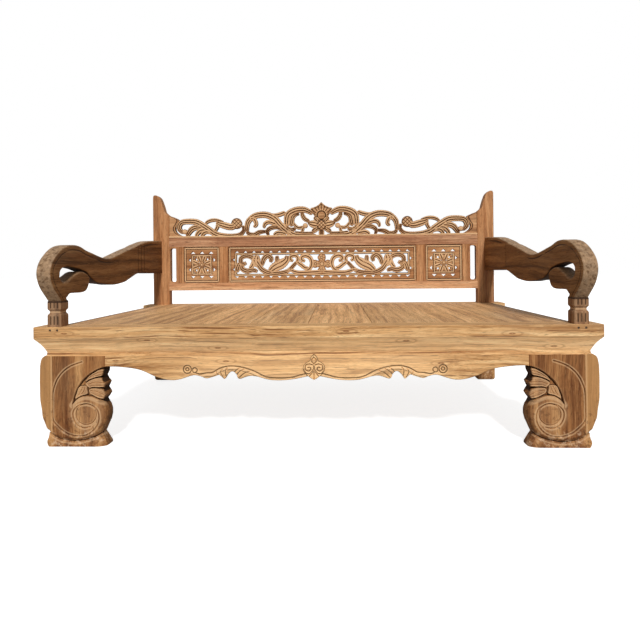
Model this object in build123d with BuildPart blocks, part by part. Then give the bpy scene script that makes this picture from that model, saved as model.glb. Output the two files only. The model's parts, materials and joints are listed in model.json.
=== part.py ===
"""Carved teak daybed: a low platform on two scrolled front legs and two plain rear legs,
with scrolled arms on turned blocks and a pierced, carved backrest.

Millimetres.  X runs along the daybed, Y from front to back, Z up.  The origin is on the floor,
midway along the length and midway through the overall depth.
"""
import os
from math import atan2, cos, hypot, sin

from build123d import *

os.makedirs("parts", exist_ok=True)

# ------------------------------------------------------------------ driving sizes
# Platform
rail_length = 2100
frame_depth = 1146
deck_height = 456
rail_height = 113
front_rail_width = 106
back_rail_width = 116
side_rail_width = 60
horn_overhang = 75
fascia_height = 42
cove_depth = 35
cove_hollow = 3.5
fillet_height = 14
fillet_flare = 6
horn_radius = 9
edge_rounding = 2.5
side_lip = 13

# Deck and what carries it
board_thickness = 28
board_proportions = (228, 251, 236, 222, 246, 233, 262, 246)
board_gap = 1.5
board_seat = 20
board_chamfer = 1.5
bearer_width = 60
bearer_height = 50
cross_rail_width = 70

# Front legs and apron
leg_bulge = 6
leg_setback = 26
leg_thickness = 66
leg_seam = 266
foot_setback = 8
cant_width = 59
cant_depth = 26
lobe_recess = 10
lobe_height = 6
groove_width = 5
groove_cut = 5
boss_radius = 47
boss_inset = 190
boss_height = 124
apron_setback = 30
apron_thickness = 26
ornament_thickness = 13

# Rear legs
rear_leg_width = 104
rear_leg_thickness = 52
rear_leg_inset = 41
rear_leg_setback = 4
rear_leg_rounding = 16

# Arms and their posts
scroll_overhang = 54
arm_thickness = 53
arm_inset = 49
arm_slit = 4
arm_post_setback = 13
arm_post_depth = 53
arm_post_height = 97
waist_inset = 5
lower_block_height = 49
waist_height = 11
peg_radius = 4.5
peg_spacing = 27
peg_offset = 5
peg_drop = 12
peg_recess = 3
peg_length = 52

# Backrest
back_setback = 87
post_width = 95
post_outer_inset = 50
post_thickness = 52
post_height = 650
post_rounding = 10
back_thickness = 35
lower_gap = 84
bottom_rail_height = 44
bay_height = 213
top_rail_height = 55
outer_stile_width = 87
outer_slot_width = 35
outer_slot_border = 7
outer_slot_radius = 10
square_panel_width = 212
inner_stile_width = 53
panel_thickness = 20
panel_border = 25
crest_thickness = 30
crest_height = 202
crest_strip = 8
bead_pitch = 50.5
bead_width = 30
bead_height = 15
vine_strip = 9
vine_margin = 3

# Joints
fit = 0.3
tongue_thickness = 10
tongue_length = 8
tenon_thickness = 30
tenon_length = 36
tenon_height = 55
tenon_shoulder = 14
small_shoulder = 8
leg_tenon_width = 80
arm_tenon_side = 26
arm_tenon_height = 120
post_tenon_thickness = 24
apron_end_tongue = 30

# ------------------------------------------------------------------ places worked out from them
front_y = (scroll_overhang - frame_depth) / 2
back_y = front_y + frame_depth
rail_half = rail_length / 2
rail_bottom = deck_height - rail_height
fascia_bottom = deck_height - fascia_height
cove_bottom = rail_bottom + fillet_height
# Middle of the cove's arc, sunk square to its chord
cove_chord = hypot(cove_depth, fascia_bottom - cove_bottom)
cove_middle = cove_depth / 2 + cove_hollow * (fascia_bottom - cove_bottom) / cove_chord
cove_middle_z = (fascia_bottom + cove_bottom) / 2 + cove_hollow * cove_depth / cove_chord
ledge_height = deck_height - board_thickness
front_rail_back = front_y + front_rail_width
back_rail_front = back_y - back_rail_width
side_outer = rail_half - horn_overhang
side_inner = side_outer - side_rail_width
deck_half = side_outer - side_lip
deck_front = front_rail_back - board_seat
deck_back = back_rail_front + board_seat
leg_outer = rail_half + leg_bulge
leg_front = front_y + leg_setback
seam_x = leg_outer - leg_seam
arm_outer = rail_half - arm_inset
arm_x = arm_outer - arm_thickness / 2
arm_post_front = front_y + arm_post_setback
arm_post_y = arm_post_front + arm_post_depth / 2
back_face = back_y - back_setback
back_mid = back_face + back_thickness / 2
post_outer = rail_half - post_outer_inset
post_inner = post_outer - post_width
bottom_rail_low = deck_height + lower_gap
bay_low = bottom_rail_low + bottom_rail_height
bay_high = bay_low + bay_height
crest_low = bay_high + top_rail_height
outer_stile_inner = post_inner - outer_stile_width
inner_stile_outer = outer_stile_inner - square_panel_width
inner_stile_inner = inner_stile_outer - inner_stile_width


# ------------------------------------------------------------------ helpers
def facing(depth):
    """Upright plane seen from the front, at the given Y."""
    return Plane.XZ.offset(-depth)


def block(x_limits, y_limits, z_limits, mode=Mode.ADD):
    """Rectangular block between the two limits on each axis."""
    centre = [sum(limits) / 2 for limits in (x_limits, y_limits, z_limits)]
    size = [abs(limits[1] - limits[0]) for limits in (x_limits, y_limits, z_limits)]
    with Locations(tuple(centre)):
        Box(*size, mode=mode)


def grown(limits):
    """Limits of a mortise or groove around the tenon or tongue that has these limits."""
    return (min(limits) - fit, max(limits) + fit)


def mirrored(limits, side):
    """X limits on the left (-1) or the right (+1)."""
    return (side * limits[0], side * limits[1])


def stem_sides(points, start, middle, end):
    """Both sides of a carved stem along the points; its width runs from start by middle to end."""
    last = len(points) - 1
    sides = ([], [])
    for number, (x, z) in enumerate(points):
        ahead = points[min(number + 1, last)]
        behind = points[max(number - 1, 0)]
        slope = atan2(ahead[1] - behind[1], ahead[0] - behind[0])
        share = number / last
        width = start * (1 - share) + end * share
        width += (2 * middle - start - end) * 2 * share * (1 - share)
        for half, turn in zip(sides, (1, -1)):
            half.append((x - turn * sin(slope) * width / 2, z + turn * cos(slope) * width / 2))
    return sides


def save(piece, name):
    """Label a finished piece and write its STEP file."""
    piece.part.label = name
    export_step(piece.part, f"parts/{name}.step")


SIDES = ((-1, "left"), (1, "right"))

# ------------------------------------------------------------------ front and back rails
# Mortises that both rails receive, as limits of the tenons that fill them
side_tenon_x = (side_inner + tenon_shoulder, side_inner + tenon_shoulder + tenon_thickness)
side_tenon_low = rail_bottom + (rail_height - tenon_height) / 2
side_tenon_z = (side_tenon_low, side_tenon_low + tenon_height)
leg_tenon_x = (seam_x + 2 * tenon_shoulder, seam_x + 2 * tenon_shoulder + leg_tenon_width)
leg_mid_y = leg_front + leg_thickness / 2
leg_tenon_y = (leg_mid_y - tenon_thickness / 2, leg_mid_y + tenon_thickness / 2)
leg_tenon_z = (rail_bottom, rail_bottom + tenon_length)
arm_post_tenon_x = (arm_outer - arm_thickness, arm_outer)
arm_post_tenon_y = (arm_post_y - arm_tenon_side / 2, arm_post_y + arm_tenon_side / 2)
arm_post_tenon_z = (deck_height - tenon_height, deck_height)
cross_tenon_x = (-tenon_thickness / 2, tenon_thickness / 2)
rear_leg_outer = rail_half - rear_leg_inset
rear_leg_inner = rear_leg_outer - rear_leg_width
rear_leg_back = back_y - rear_leg_setback
rear_leg_mid_y = rear_leg_back - rear_leg_thickness / 2
rear_leg_tenon_x = (rear_leg_inner + tenon_shoulder, rear_leg_outer - tenon_shoulder)
rear_leg_tenon_y = (rear_leg_mid_y - tenon_thickness / 2, rear_leg_mid_y + tenon_thickness / 2)
back_post_tenon_x = (post_inner + tenon_shoulder, post_outer - tenon_shoulder)
back_post_mid_y = back_face + post_thickness / 2
back_post_tenon_y = (
    back_post_mid_y - post_tenon_thickness / 2,
    back_post_mid_y + post_tenon_thickness / 2,
)
back_post_tenon_z = (deck_height - tenon_length, deck_height)
peg_x = (arm_x - peg_offset - peg_spacing / 2, arm_x - peg_offset + peg_spacing / 2)
peg_z = deck_height - peg_drop

with BuildPart() as front_rail:
    # Section: square fascia over a shallow hollow and a flared fillet, with a rebate for the deck boards
    with BuildSketch(Plane.YZ.offset(-rail_half)):
        with BuildLine():
            Line((front_y, deck_height), (front_y, fascia_bottom))
            ThreePointArc(
                (front_y, fascia_bottom),
                (front_y + cove_middle, cove_middle_z),
                (front_y + cove_depth, cove_bottom),
            )
            Polyline(
                (front_y + cove_depth, cove_bottom),
                (front_y + cove_depth - fillet_flare, rail_bottom),
                (front_rail_back, rail_bottom),
                (front_rail_back, deck_height),
                (front_y, deck_height),
            )
        make_face()
    extrude(amount=rail_length)
    # The hollow returns round both horns
    with BuildSketch(facing(front_y)):
        for side, hand in SIDES:
            with BuildLine():
                Line((0, deck_height), (side * rail_half, deck_height))
                Line((side * rail_half, deck_height), (side * rail_half, fascia_bottom))
                ThreePointArc(
                    (side * rail_half, fascia_bottom),
                    (side * (rail_half - cove_middle), cove_middle_z),
                    (side * (rail_half - cove_depth), cove_bottom),
                )
                Polyline(
                    (side * (rail_half - cove_depth), cove_bottom),
                    (side * (rail_half - cove_depth), rail_bottom),
                    (0, rail_bottom),
                    (0, deck_height),
                )
            make_face()
    extrude(amount=-front_rail_width, mode=Mode.INTERSECT)
    corner_edges = front_rail.edges().filter_by(Axis.Z).filter_by_position(Axis.Z, fascia_bottom, deck_height)
    fillet(corner_edges, horn_radius)
    fillet(front_rail.faces().sort_by(Axis.Z)[-1].edges(), edge_rounding)
    block(
        (-deck_half - fit, deck_half + fit),
        (deck_front, front_rail_back),
        (ledge_height, deck_height),
        Mode.SUBTRACT,
    )
    side_tenon_front_y = (front_rail_back - tenon_length, front_rail_back)
    for side, hand in SIDES:
        block(mirrored(grown(side_tenon_x), side), side_tenon_front_y, grown(side_tenon_z), Mode.SUBTRACT)
        block(mirrored(grown(leg_tenon_x), side), grown(leg_tenon_y), grown(leg_tenon_z), Mode.SUBTRACT)
        block(
            mirrored(grown(arm_post_tenon_x), side),
            grown(arm_post_tenon_y),
            grown(arm_post_tenon_z),
            Mode.SUBTRACT,
        )
    block(grown(cross_tenon_x), side_tenon_front_y, grown(side_tenon_z), Mode.SUBTRACT)
    apron_groove_y = (
        front_y + apron_setback + (apron_thickness - tongue_thickness) / 2,
        front_y + apron_setback + (apron_thickness + tongue_thickness) / 2,
    )
    block(
        (-seam_x, seam_x),
        grown(apron_groove_y),
        (rail_bottom, rail_bottom + tongue_length + fit),
        Mode.SUBTRACT,
    )
    for side, hand in SIDES:
        for x in peg_x:
            with Locations((side * x, front_y + peg_length / 2 + peg_recess / 2, peg_z)):
                Cylinder(
                    peg_radius,
                    peg_length + peg_recess,
                    rotation=(90, 0, 0),
                    mode=Mode.SUBTRACT,
                )
save(front_rail, "front_rail")

with BuildPart() as back_rail:
    with BuildSketch(facing(back_rail_front)):
        for side, hand in SIDES:
            with BuildLine():
                Polyline(
                    (side * (rail_half - cove_depth), cove_bottom),
                    (side * (rail_half - cove_depth), rail_bottom),
                    (0, rail_bottom),
                    (0, deck_height),
                    (side * rail_half, deck_height),
                    (side * rail_half, fascia_bottom),
                )
                ThreePointArc(
                    (side * rail_half, fascia_bottom),
                    (side * (rail_half - cove_middle), cove_middle_z),
                    (side * (rail_half - cove_depth), cove_bottom),
                )
            make_face()
    extrude(amount=-back_rail_width)
    fillet(back_rail.faces().sort_by(Axis.Z)[-1].edges(), edge_rounding)
    block(
        (-deck_half - fit, deck_half + fit),
        (back_rail_front, deck_back),
        (ledge_height, deck_height),
        Mode.SUBTRACT,
    )
    side_tenon_back_y = (back_rail_front, back_rail_front + tenon_length)
    for side, hand in SIDES:
        block(mirrored(grown(side_tenon_x), side), side_tenon_back_y, grown(side_tenon_z), Mode.SUBTRACT)
        block(
            mirrored(grown(rear_leg_tenon_x), side),
            grown(rear_leg_tenon_y),
            grown(leg_tenon_z),
            Mode.SUBTRACT,
        )
        block(
            mirrored(grown(back_post_tenon_x), side),
            grown(back_post_tenon_y),
            grown(back_post_tenon_z),
            Mode.SUBTRACT,
        )
    block(grown(cross_tenon_x), side_tenon_back_y, grown(side_tenon_z), Mode.SUBTRACT)
save(back_rail, "back_rail")

# ------------------------------------------------------------------ side rails and deck bearers
deck_depth = deck_back - deck_front
bearer_places = (deck_front + deck_depth / 3, deck_back - deck_depth / 3)
bearer_z = (ledge_height - bearer_height, ledge_height)
bearer_tenon_z = (ledge_height - bearer_height + small_shoulder, ledge_height - small_shoulder)
bearer_tenon_reach = side_inner + tenon_length

for side, hand in SIDES:
    with BuildPart() as side_rail:
        block(
            mirrored((side_inner, side_outer), side),
            (front_rail_back, back_rail_front),
            (rail_bottom, deck_height),
        )
        fillet(side_rail.edges().filter_by(Axis.Y), edge_rounding)
        block(
            mirrored((side_inner, deck_half + fit), side),
            (front_rail_back, back_rail_front),
            (ledge_height, deck_height),
            Mode.SUBTRACT,
        )
        block(
            mirrored(side_tenon_x, side),
            (front_rail_back - tenon_length + fit, back_rail_front + tenon_length - fit),
            side_tenon_z,
        )
        for place in bearer_places:
            block(
                mirrored((side_inner, bearer_tenon_reach + fit), side),
                grown((place - tenon_thickness / 2, place + tenon_thickness / 2)),
                grown(bearer_tenon_z),
                Mode.SUBTRACT,
            )
    save(side_rail, f"side_rail_{hand}")

with BuildPart() as cross_rail:
    block(
        (-cross_rail_width / 2, cross_rail_width / 2),
        (front_rail_back, back_rail_front),
        (rail_bottom, ledge_height),
    )
    block(
        cross_tenon_x,
        (front_rail_back - tenon_length + fit, back_rail_front + tenon_length - fit),
        side_tenon_z,
    )
    for place in bearer_places:
        block(
            (-cross_rail_width / 2, cross_rail_width / 2),
            grown((place - bearer_width / 2, place + bearer_width / 2)),
            bearer_z,
            Mode.SUBTRACT,
        )
save(cross_rail, "centre_cross_rail")

for place, name in zip(bearer_places, ("bearer_front", "bearer_rear")):
    with BuildPart() as bearer:
        block(
            (-side_inner, side_inner),
            (place - bearer_width / 2, place + bearer_width / 2),
            bearer_z,
        )
        block(
            (-bearer_tenon_reach, bearer_tenon_reach),
            (place - tenon_thickness / 2, place + tenon_thickness / 2),
            bearer_tenon_z,
        )
    save(bearer, name)

# ------------------------------------------------------------------ deck boards
board_left = -deck_half
for number, proportion in enumerate(board_proportions, start=1):
    board_right = board_left + 2 * deck_half * proportion / sum(board_proportions)
    with BuildPart() as board:
        block(
            (board_left + board_gap / 2, board_right - board_gap / 2),
            (deck_front + board_gap / 2, deck_back - board_gap / 2),
            (ledge_height, deck_height),
        )
        chamfer(board.faces().sort_by(Axis.Z)[-1].edges(), board_chamfer)
    save(board, f"deck_board_{number}")
    board_left = board_right

# ------------------------------------------------------------------ front legs
# Outline points are measured inwards from the leg's widest point and up from the floor
leg_outer_side = (
    (30, 343), (12, 331), (4, 309), (1, 285), (0, 230), (2, 175), (9, 137), (23, 92), (43, 56),
)
foot_outer_side = ((43, 56), (44, 35), (39, 19), (42, 6), (48, 0))
leg_lobes = (
    ((251, 301), (258, 287), (248, 262)),
    ((248, 262), (264, 239), (254, 216)),
    ((254, 216), (266, 198), (250, 172)),
)
leg_ball_side = ((250, 172), (263, 150), (268, 122), (263, 92), (252, 68), (242, 46))
foot_inner_side = ((242, 46), (252, 32), (263, 14), (266, 0))
foot_crease = ((43, 56), (76, 37), (136, 22), (208, 28), (242, 46))
step_line = ((251, 301), (216, 291), (170, 249), (150, 196), (146, 150))
lip_line = ((146, 150), (169, 180), (213, 193), (250, 172))
lobe_faces = (
    ((185, 262), (212, 285), (240, 292), (253, 280), (242, 267)),
    ((185, 235), (208, 252), (238, 259), (258, 240), (246, 225)),
    ((200, 206), (212, 216), (240, 214), (259, 198), (244, 180), (222, 186)),
)
volute_line = (
    (163, 315), (132, 306), (109, 287), (89, 265), (78, 242), (71, 200), (70, 150), (72, 109),
    (91, 80), (130, 55), (176, 47), (226, 62), (245, 87), (249, 112), (238, 140), (206, 163), (184, 164),
)
leg_height = rail_bottom
drawn_leg_height = leg_outer_side[0][1]
foot_top = 60


def leg_point(side, point):
    """Place on the left (-1) or right (+1) leg's front, from inwards distance and height."""
    inwards, height = point
    return (side * (leg_outer - inwards), height * leg_height / drawn_leg_height)


def leg_line(side, points):
    """Places on the leg's front for a whole line of points."""
    return [leg_point(side, point) for point in points]


for side, hand in SIDES:
    with BuildPart() as front_leg:
        # Whole board, with its three lobes, ball and foot
        with BuildSketch(facing(leg_front + foot_setback)):
            with BuildLine():
                Spline(*leg_line(side, leg_outer_side))
                Spline(*leg_line(side, foot_outer_side))
                Line(leg_point(side, foot_outer_side[-1]), leg_point(side, foot_inner_side[-1]))
                Spline(*leg_line(side, foot_inner_side))
                Spline(*leg_line(side, leg_ball_side))
                for lobe in leg_lobes:
                    ThreePointArc(*leg_line(side, lobe))
                Polyline(
                    leg_point(side, leg_lobes[0][0]),
                    (side * seam_x, leg_point(side, leg_lobes[0][0])[1]),
                    (side * seam_x, leg_height),
                    leg_point(side, leg_outer_side[0]),
                )
            make_face()
        extrude(amount=-(leg_thickness - foot_setback))
        # Body in front of the foot, bounded by the crease
        with BuildSketch(facing(leg_front)):
            with BuildLine():
                Spline(*leg_line(side, leg_outer_side))
                Spline(*leg_line(side, foot_crease))
                Spline(*leg_line(side, leg_ball_side))
                for lobe in leg_lobes:
                    ThreePointArc(*leg_line(side, lobe))
                Polyline(
                    leg_point(side, leg_lobes[0][0]),
                    (side * seam_x, leg_point(side, leg_lobes[0][0])[1]),
                    (side * seam_x, leg_height),
                    leg_point(side, leg_outer_side[0]),
                )
            make_face()
        extrude(amount=-foot_setback)
        # Canted outer corner of the body
        with BuildSketch(Plane.XY.offset(leg_point(side, (0, foot_top))[1])):
            with BuildLine():
                Polyline(
                    (side * (leg_outer - cant_width), leg_front),
                    (side * (leg_outer + cant_width), leg_front + 2 * cant_depth),
                    (side * (leg_outer + cant_width), leg_front - cant_depth),
                    (side * (leg_outer - cant_width), leg_front - cant_depth),
                    close=True,
                )
            make_face()
        extrude(amount=leg_height, mode=Mode.SUBTRACT)
        # Sunk field behind the lobes, and the lobes' own faces
        with BuildSketch(facing(leg_front)):
            with BuildLine():
                Spline(*leg_line(side, step_line))
                Spline(*leg_line(side, lip_line))
                for lobe in reversed(leg_lobes):
                    ThreePointArc(*leg_line(side, lobe))
            make_face()
        extrude(amount=-lobe_recess, mode=Mode.SUBTRACT)
        with BuildSketch(facing(leg_front + lobe_recess)):
            for outline in lobe_faces:
                with BuildLine():
                    Spline(*leg_line(side, outline), periodic=True)
                make_face()
        extrude(amount=lobe_height)
        # Volute: one long groove that winds down to the boss
        with BuildSketch(facing(leg_front)):
            groove_left, groove_right = stem_sides(
                leg_line(side, volute_line), groove_width, groove_width, groove_width
            )
            with BuildLine():
                Spline(*groove_left)
                Line(groove_left[-1], groove_right[-1])
                Spline(*groove_right)
                Line(groove_right[0], groove_left[0])
            make_face()
            with Locations(leg_point(side, (boss_inset, boss_height))):
                Circle(boss_radius - groove_width)
                Circle(boss_radius - 2 * groove_width, mode=Mode.SUBTRACT)
        extrude(amount=-groove_cut, mode=Mode.SUBTRACT)
        block(mirrored(leg_tenon_x, side), leg_tenon_y, leg_tenon_z)
        block(
            mirrored((seam_x, seam_x + tenon_length / 2), side),
            grown(apron_groove_y),
            (rail_bottom - fit - apron_end_tongue, rail_bottom),
            Mode.SUBTRACT,
        )
    save(front_leg, f"front_leg_{hand}")

# ------------------------------------------------------------------ rear legs
for side, hand in SIDES:
    with BuildPart() as rear_leg:
        block(
            mirrored((rear_leg_inner, rear_leg_outer), side),
            (rear_leg_back - rear_leg_thickness, rear_leg_back),
            (0, rail_bottom),
        )
        fillet(rear_leg.edges().filter_by(Axis.Z), edge_rounding)
        inner_edges = rear_leg.edges().filter_by(Axis.Y).group_by(Axis.Z)[0].sort_by(Axis.X)
        fillet(inner_edges[0] if side > 0 else inner_edges[-1], rear_leg_rounding)
        block(mirrored(rear_leg_tenon_x, side), rear_leg_tenon_y, leg_tenon_z)
    save(rear_leg, f"rear_leg_{hand}")

# ------------------------------------------------------------------ front apron
apron_front = front_y + apron_setback
apron_lobed_edge = (
    (790, 302), (738, 301), (661, 290), (596, 263), (546, 251), (508, 253), (458, 268), (432, 266),
    (405, 257), (375, 264), (356, 269), (337, 255),
)
apron_notch = ((337, 255), (325, 270), (308, 283), (293, 273), (280, 255))
apron_inner_edge = ((280, 255), (234, 266), (167, 251), (118, 249), (72, 254), (26, 263), (0, 264))
scroll_stem = (
    (463, 283), (472, 300), (492, 296), (494, 278), (470, 268), (440, 272), (405, 277), (382, 279),
    (355, 294), (325, 302), (295, 302), (261, 296), (223, 283), (185, 264), (148, 258), (91, 259), (54, 268),
)
ornament_outline = (
    (0, 357), (14, 350), (24, 336), (34, 327), (52, 320), (60, 306), (50, 293), (46, 281), (34, 270),
    (20, 264), (9, 258), (0, 253),
)


def apron_point(point):
    """Place on the apron: spread over its length, hung from the rail's underside."""
    x, height = point
    return (x * seam_x / apron_lobed_edge[0][0], rail_bottom - (drawn_leg_height - height))


with BuildPart() as apron:
    with BuildSketch(facing(apron_front)):
        for side, hand in SIDES:
            with BuildLine():
                for edge in (apron_lobed_edge, apron_notch, apron_inner_edge):
                    Spline(*[(side * apron_point(point)[0], apron_point(point)[1]) for point in edge])
                Polyline(
                    (0, apron_point(apron_inner_edge[-1])[1]),
                    (0, rail_bottom),
                    (side * seam_x, rail_bottom),
                    (side * seam_x, apron_point(apron_lobed_edge[0])[1]),
                )
            make_face()
    extrude(amount=-apron_thickness)
    with BuildSketch(facing(apron_front)):
        for side, hand in SIDES:
            stem = [(side * apron_point(point)[0], apron_point(point)[1]) for point in scroll_stem]
            upper, lower = stem_sides(stem, groove_width, groove_width, groove_width)
            with BuildLine():
                Spline(*upper)
                Line(upper[-1], lower[-1])
                Spline(*lower)
                Line(lower[0], upper[0])
            make_face()
    extrude(amount=-groove_cut, mode=Mode.SUBTRACT)
    # Carved leaf at the middle, which laps up over the rail's fillet
    with BuildSketch(facing(apron_front - ornament_thickness)):
        for side, hand in SIDES:
            with BuildLine():
                Spline(*[(side * apron_point(point)[0], apron_point(point)[1]) for point in ornament_outline])
                Line((0, apron_point(ornament_outline[-1])[1]), (0, apron_point(ornament_outline[0])[1]))
            make_face()
    extrude(amount=-ornament_thickness)
    block(
        (-rail_half, rail_half),
        (front_y + cove_depth - fillet_flare, front_y + cove_depth + apron_thickness),
        (rail_bottom, deck_height),
        Mode.SUBTRACT,
    )
    block((-seam_x + fit, seam_x - fit), apron_groove_y, (rail_bottom, rail_bottom + tongue_length))
    for side, hand in SIDES:
        block(
            mirrored((seam_x, seam_x + tenon_length / 2 - fit), side),
            apron_groove_y,
            (rail_bottom - apron_end_tongue, rail_bottom),
        )
save(apron, "front_apron")

# ------------------------------------------------------------------ arm posts and their pegs
arm_seat = deck_height + arm_post_height

for side, hand in SIDES:
    with BuildPart() as arm_post:
        block(
            mirrored((arm_outer - arm_thickness, arm_outer), side),
            (arm_post_front, arm_post_front + arm_post_depth),
            (deck_height, deck_height + lower_block_height),
        )
        block(
            mirrored((arm_outer - arm_thickness, arm_outer), side),
            (arm_post_front, arm_post_front + arm_post_depth),
            (deck_height + lower_block_height + waist_height, arm_seat),
        )
        chamfer(arm_post.edges(), waist_inset)
        block(
            mirrored((arm_outer - arm_thickness + waist_inset, arm_outer - waist_inset), side),
            (arm_post_front + waist_inset, arm_post_front + arm_post_depth - waist_inset),
            (deck_height, arm_seat),
        )
        block(mirrored(arm_post_tenon_x, side), arm_post_tenon_y, arm_post_tenon_z)
        block(
            (side * arm_x - arm_tenon_side / 2, side * arm_x + arm_tenon_side / 2),
            (arm_post_y - arm_tenon_side / 2, arm_post_y + arm_tenon_side / 2),
            (arm_seat, arm_seat + arm_tenon_side),
        )
        for x in peg_x:
            with Locations((side * x, arm_post_y, peg_z)):
                Cylinder(peg_radius, arm_post_depth, rotation=(90, 0, 0), mode=Mode.SUBTRACT)
    save(arm_post, f"arm_post_{hand}")

with BuildPart() as pegs:
    for side, hand in SIDES:
        for x in peg_x:
            with Locations((side * x, front_y + peg_recess + peg_length / 2, peg_z)):
                Cylinder(peg_radius, peg_length, rotation=(90, 0, 0))
save(pegs, "arm_post_pegs")

# ------------------------------------------------------------------ arms
# Outline points are (distance behind the front rail's face, height above the deck).  Up to the
# end of the scroll they stay as drawn; behind it they spread to reach the back post.
scroll_reach = 300
arm_top_line = (
    (16, 97), (-28, 141), (-54, 198), (-36, 246), (8, 284), (70, 308), (115, 312), (204, 294),
    (308, 272), (385, 264), (476, 279), (667, 324), (840, 363), (960, 375), (1059, 380),
)
arm_under_line = (
    (1059, 189), (850, 190), (705, 189), (605, 162), (500, 144), (420, 143), (307, 154), (228, 178),
)
arm_hook_line = ((228, 178), (226, 160), (202, 128), (150, 121), (90, 122), (62, 112), (60, 97))
arm_eye_line = (
    (150, 216), (90, 224), (50, 225), (22, 216), (12, 198), (18, 178), (45, 168), (83, 182), (125, 199),
)
arm_slit_line = ((140, 207), (172, 208), (203, 200), (222, 186), (232, 172))


drawn_back_face = arm_top_line[-1][0]
drawn_seat = arm_top_line[0][1]
drawn_overhang = -min(behind for behind, above in arm_top_line)


def arm_point(point):
    """Place in the arm's own upright plane, as (Y, Z)."""
    behind, above = point
    if behind > scroll_reach:
        spread = (back_face - front_y - scroll_reach) / (drawn_back_face - scroll_reach)
        behind = scroll_reach + (behind - scroll_reach) * spread
    lean = scroll_overhang / drawn_overhang if behind < 0 else 1
    return (front_y + behind * lean, arm_seat + above - drawn_seat)


arm_rear_mid = (arm_point(arm_top_line[-1])[1] + arm_point(arm_under_line[0])[1]) / 2
arm_tenon_z = (arm_rear_mid - arm_tenon_height / 2, arm_rear_mid + arm_tenon_height / 2)
arm_tenon_x = (arm_x - post_tenon_thickness / 2, arm_x + post_tenon_thickness / 2)


for side, hand in SIDES:
    with BuildPart() as arm:
        with BuildSketch(Plane.YZ.offset(side * arm_x)):
            with BuildLine():
                Spline(*[arm_point(point) for point in arm_top_line])
                Line(arm_point(arm_top_line[-1]), arm_point(arm_under_line[0]))
                Spline(*[arm_point(point) for point in arm_under_line])
                Spline(*[arm_point(point) for point in arm_hook_line])
                Line(arm_point(arm_hook_line[-1]), arm_point(arm_top_line[0]))
            make_face()
            with BuildLine():
                Spline(*[arm_point(point) for point in arm_eye_line], periodic=True)
            make_face(mode=Mode.SUBTRACT)
            slit_upper, slit_lower = stem_sides(
                [arm_point(point) for point in arm_slit_line], arm_slit, arm_slit, arm_slit
            )
            with BuildLine():
                Spline(*slit_upper)
                Line(slit_upper[-1], slit_lower[-1])
                Spline(*slit_lower)
                Line(slit_lower[0], slit_upper[0])
            make_face(mode=Mode.SUBTRACT)
        extrude(amount=arm_thickness / 2, both=True)
        block(
            (side * arm_x - arm_tenon_side / 2 - fit, side * arm_x + arm_tenon_side / 2 + fit),
            grown((arm_post_y - arm_tenon_side / 2, arm_post_y + arm_tenon_side / 2)),
            (arm_seat, arm_seat + arm_tenon_side + fit),
            Mode.SUBTRACT,
        )
        block(
            mirrored(arm_tenon_x, side),
            (back_face - arm_tenon_side, back_face + tenon_length - fit),
            arm_tenon_z,
        )
    save(arm, f"arm_{hand}")

# ------------------------------------------------------------------ back posts
post_top = deck_height + post_height
post_tenon_y = (back_mid - tongue_thickness / 2, back_mid + tongue_thickness / 2)
top_rail_tenon_z = (bay_high + small_shoulder, crest_low - small_shoulder)
bottom_rail_tenon_z = (bottom_rail_low + small_shoulder, bay_low - small_shoulder)
crest_tongue_z = (crest_low, crest_low + crest_height / 2)
# Distance in from the post's outer face and drop from its top, down the scooped inner edge
post_scoop = ((5, 0), (22, 1), (40, 16), (52, 43), (62, 74), (69, 98), (81, 111), (95, 122))

for side, hand in SIDES:
    with BuildPart() as back_post:
        with BuildSketch(facing(back_face)):
            with BuildLine():
                Spline(*[(side * (post_outer - inset), post_top - drop) for inset, drop in post_scoop])
                Polyline(
                    (side * (post_outer - post_scoop[-1][0]), post_top - post_scoop[-1][1]),
                    (side * post_inner, deck_height),
                    (side * post_outer, deck_height),
                    (side * post_outer, post_top - post_rounding),
                    (side * (post_outer - post_scoop[0][0]), post_top),
                )
            make_face()
        extrude(amount=-post_thickness)
        block(
            mirrored(back_post_tenon_x, side),
            back_post_tenon_y,
            back_post_tenon_z,
        )
        block(
            mirrored(grown(arm_tenon_x), side),
            (back_face, back_face + tenon_length),
            grown(arm_tenon_z),
            Mode.SUBTRACT,
        )
        for tenon_z in (top_rail_tenon_z, bottom_rail_tenon_z):
            block(
                mirrored((post_inner, post_inner + tenon_length), side),
                grown(post_tenon_y),
                grown(tenon_z),
                Mode.SUBTRACT,
            )
        block(
            mirrored((post_inner, post_inner + tongue_length), side),
            grown(post_tenon_y),
            grown(crest_tongue_z),
            Mode.SUBTRACT,
        )
    save(back_post, f"back_post_{hand}")

# ------------------------------------------------------------------ backrest rails and stiles
# Both rails have a groove along the bay, which takes the stiles' and the panels' tongues
bottom_tongue_z = (bay_low - tongue_length, bay_low)
top_tongue_z = (bay_high, bay_high + tongue_length)

with BuildPart() as top_rail:
    block((-post_inner, post_inner), (back_face, back_face + back_thickness), (bay_high, crest_low))
    fillet(top_rail.edges().filter_by(Axis.X), edge_rounding)
    block((-post_inner, post_inner), grown(post_tenon_y), top_tongue_z, Mode.SUBTRACT)
    block(
        (-post_inner, post_inner), grown(post_tenon_y), (crest_low - tongue_length, crest_low), Mode.SUBTRACT
    )
    block(
        (-post_inner - tenon_length + fit, post_inner + tenon_length - fit), post_tenon_y, top_rail_tenon_z
    )
save(top_rail, "back_top_rail")

with BuildPart() as bottom_rail:
    block(
        (-post_inner, post_inner), (back_face, back_face + back_thickness), (bottom_rail_low, bay_low)
    )
    fillet(bottom_rail.edges().filter_by(Axis.X), edge_rounding)
    block((-post_inner, post_inner), grown(post_tenon_y), bottom_tongue_z, Mode.SUBTRACT)
    block(
        (-post_inner - tenon_length + fit, post_inner + tenon_length - fit),
        post_tenon_y,
        bottom_rail_tenon_z,
    )
save(bottom_rail, "back_bottom_rail")

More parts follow.
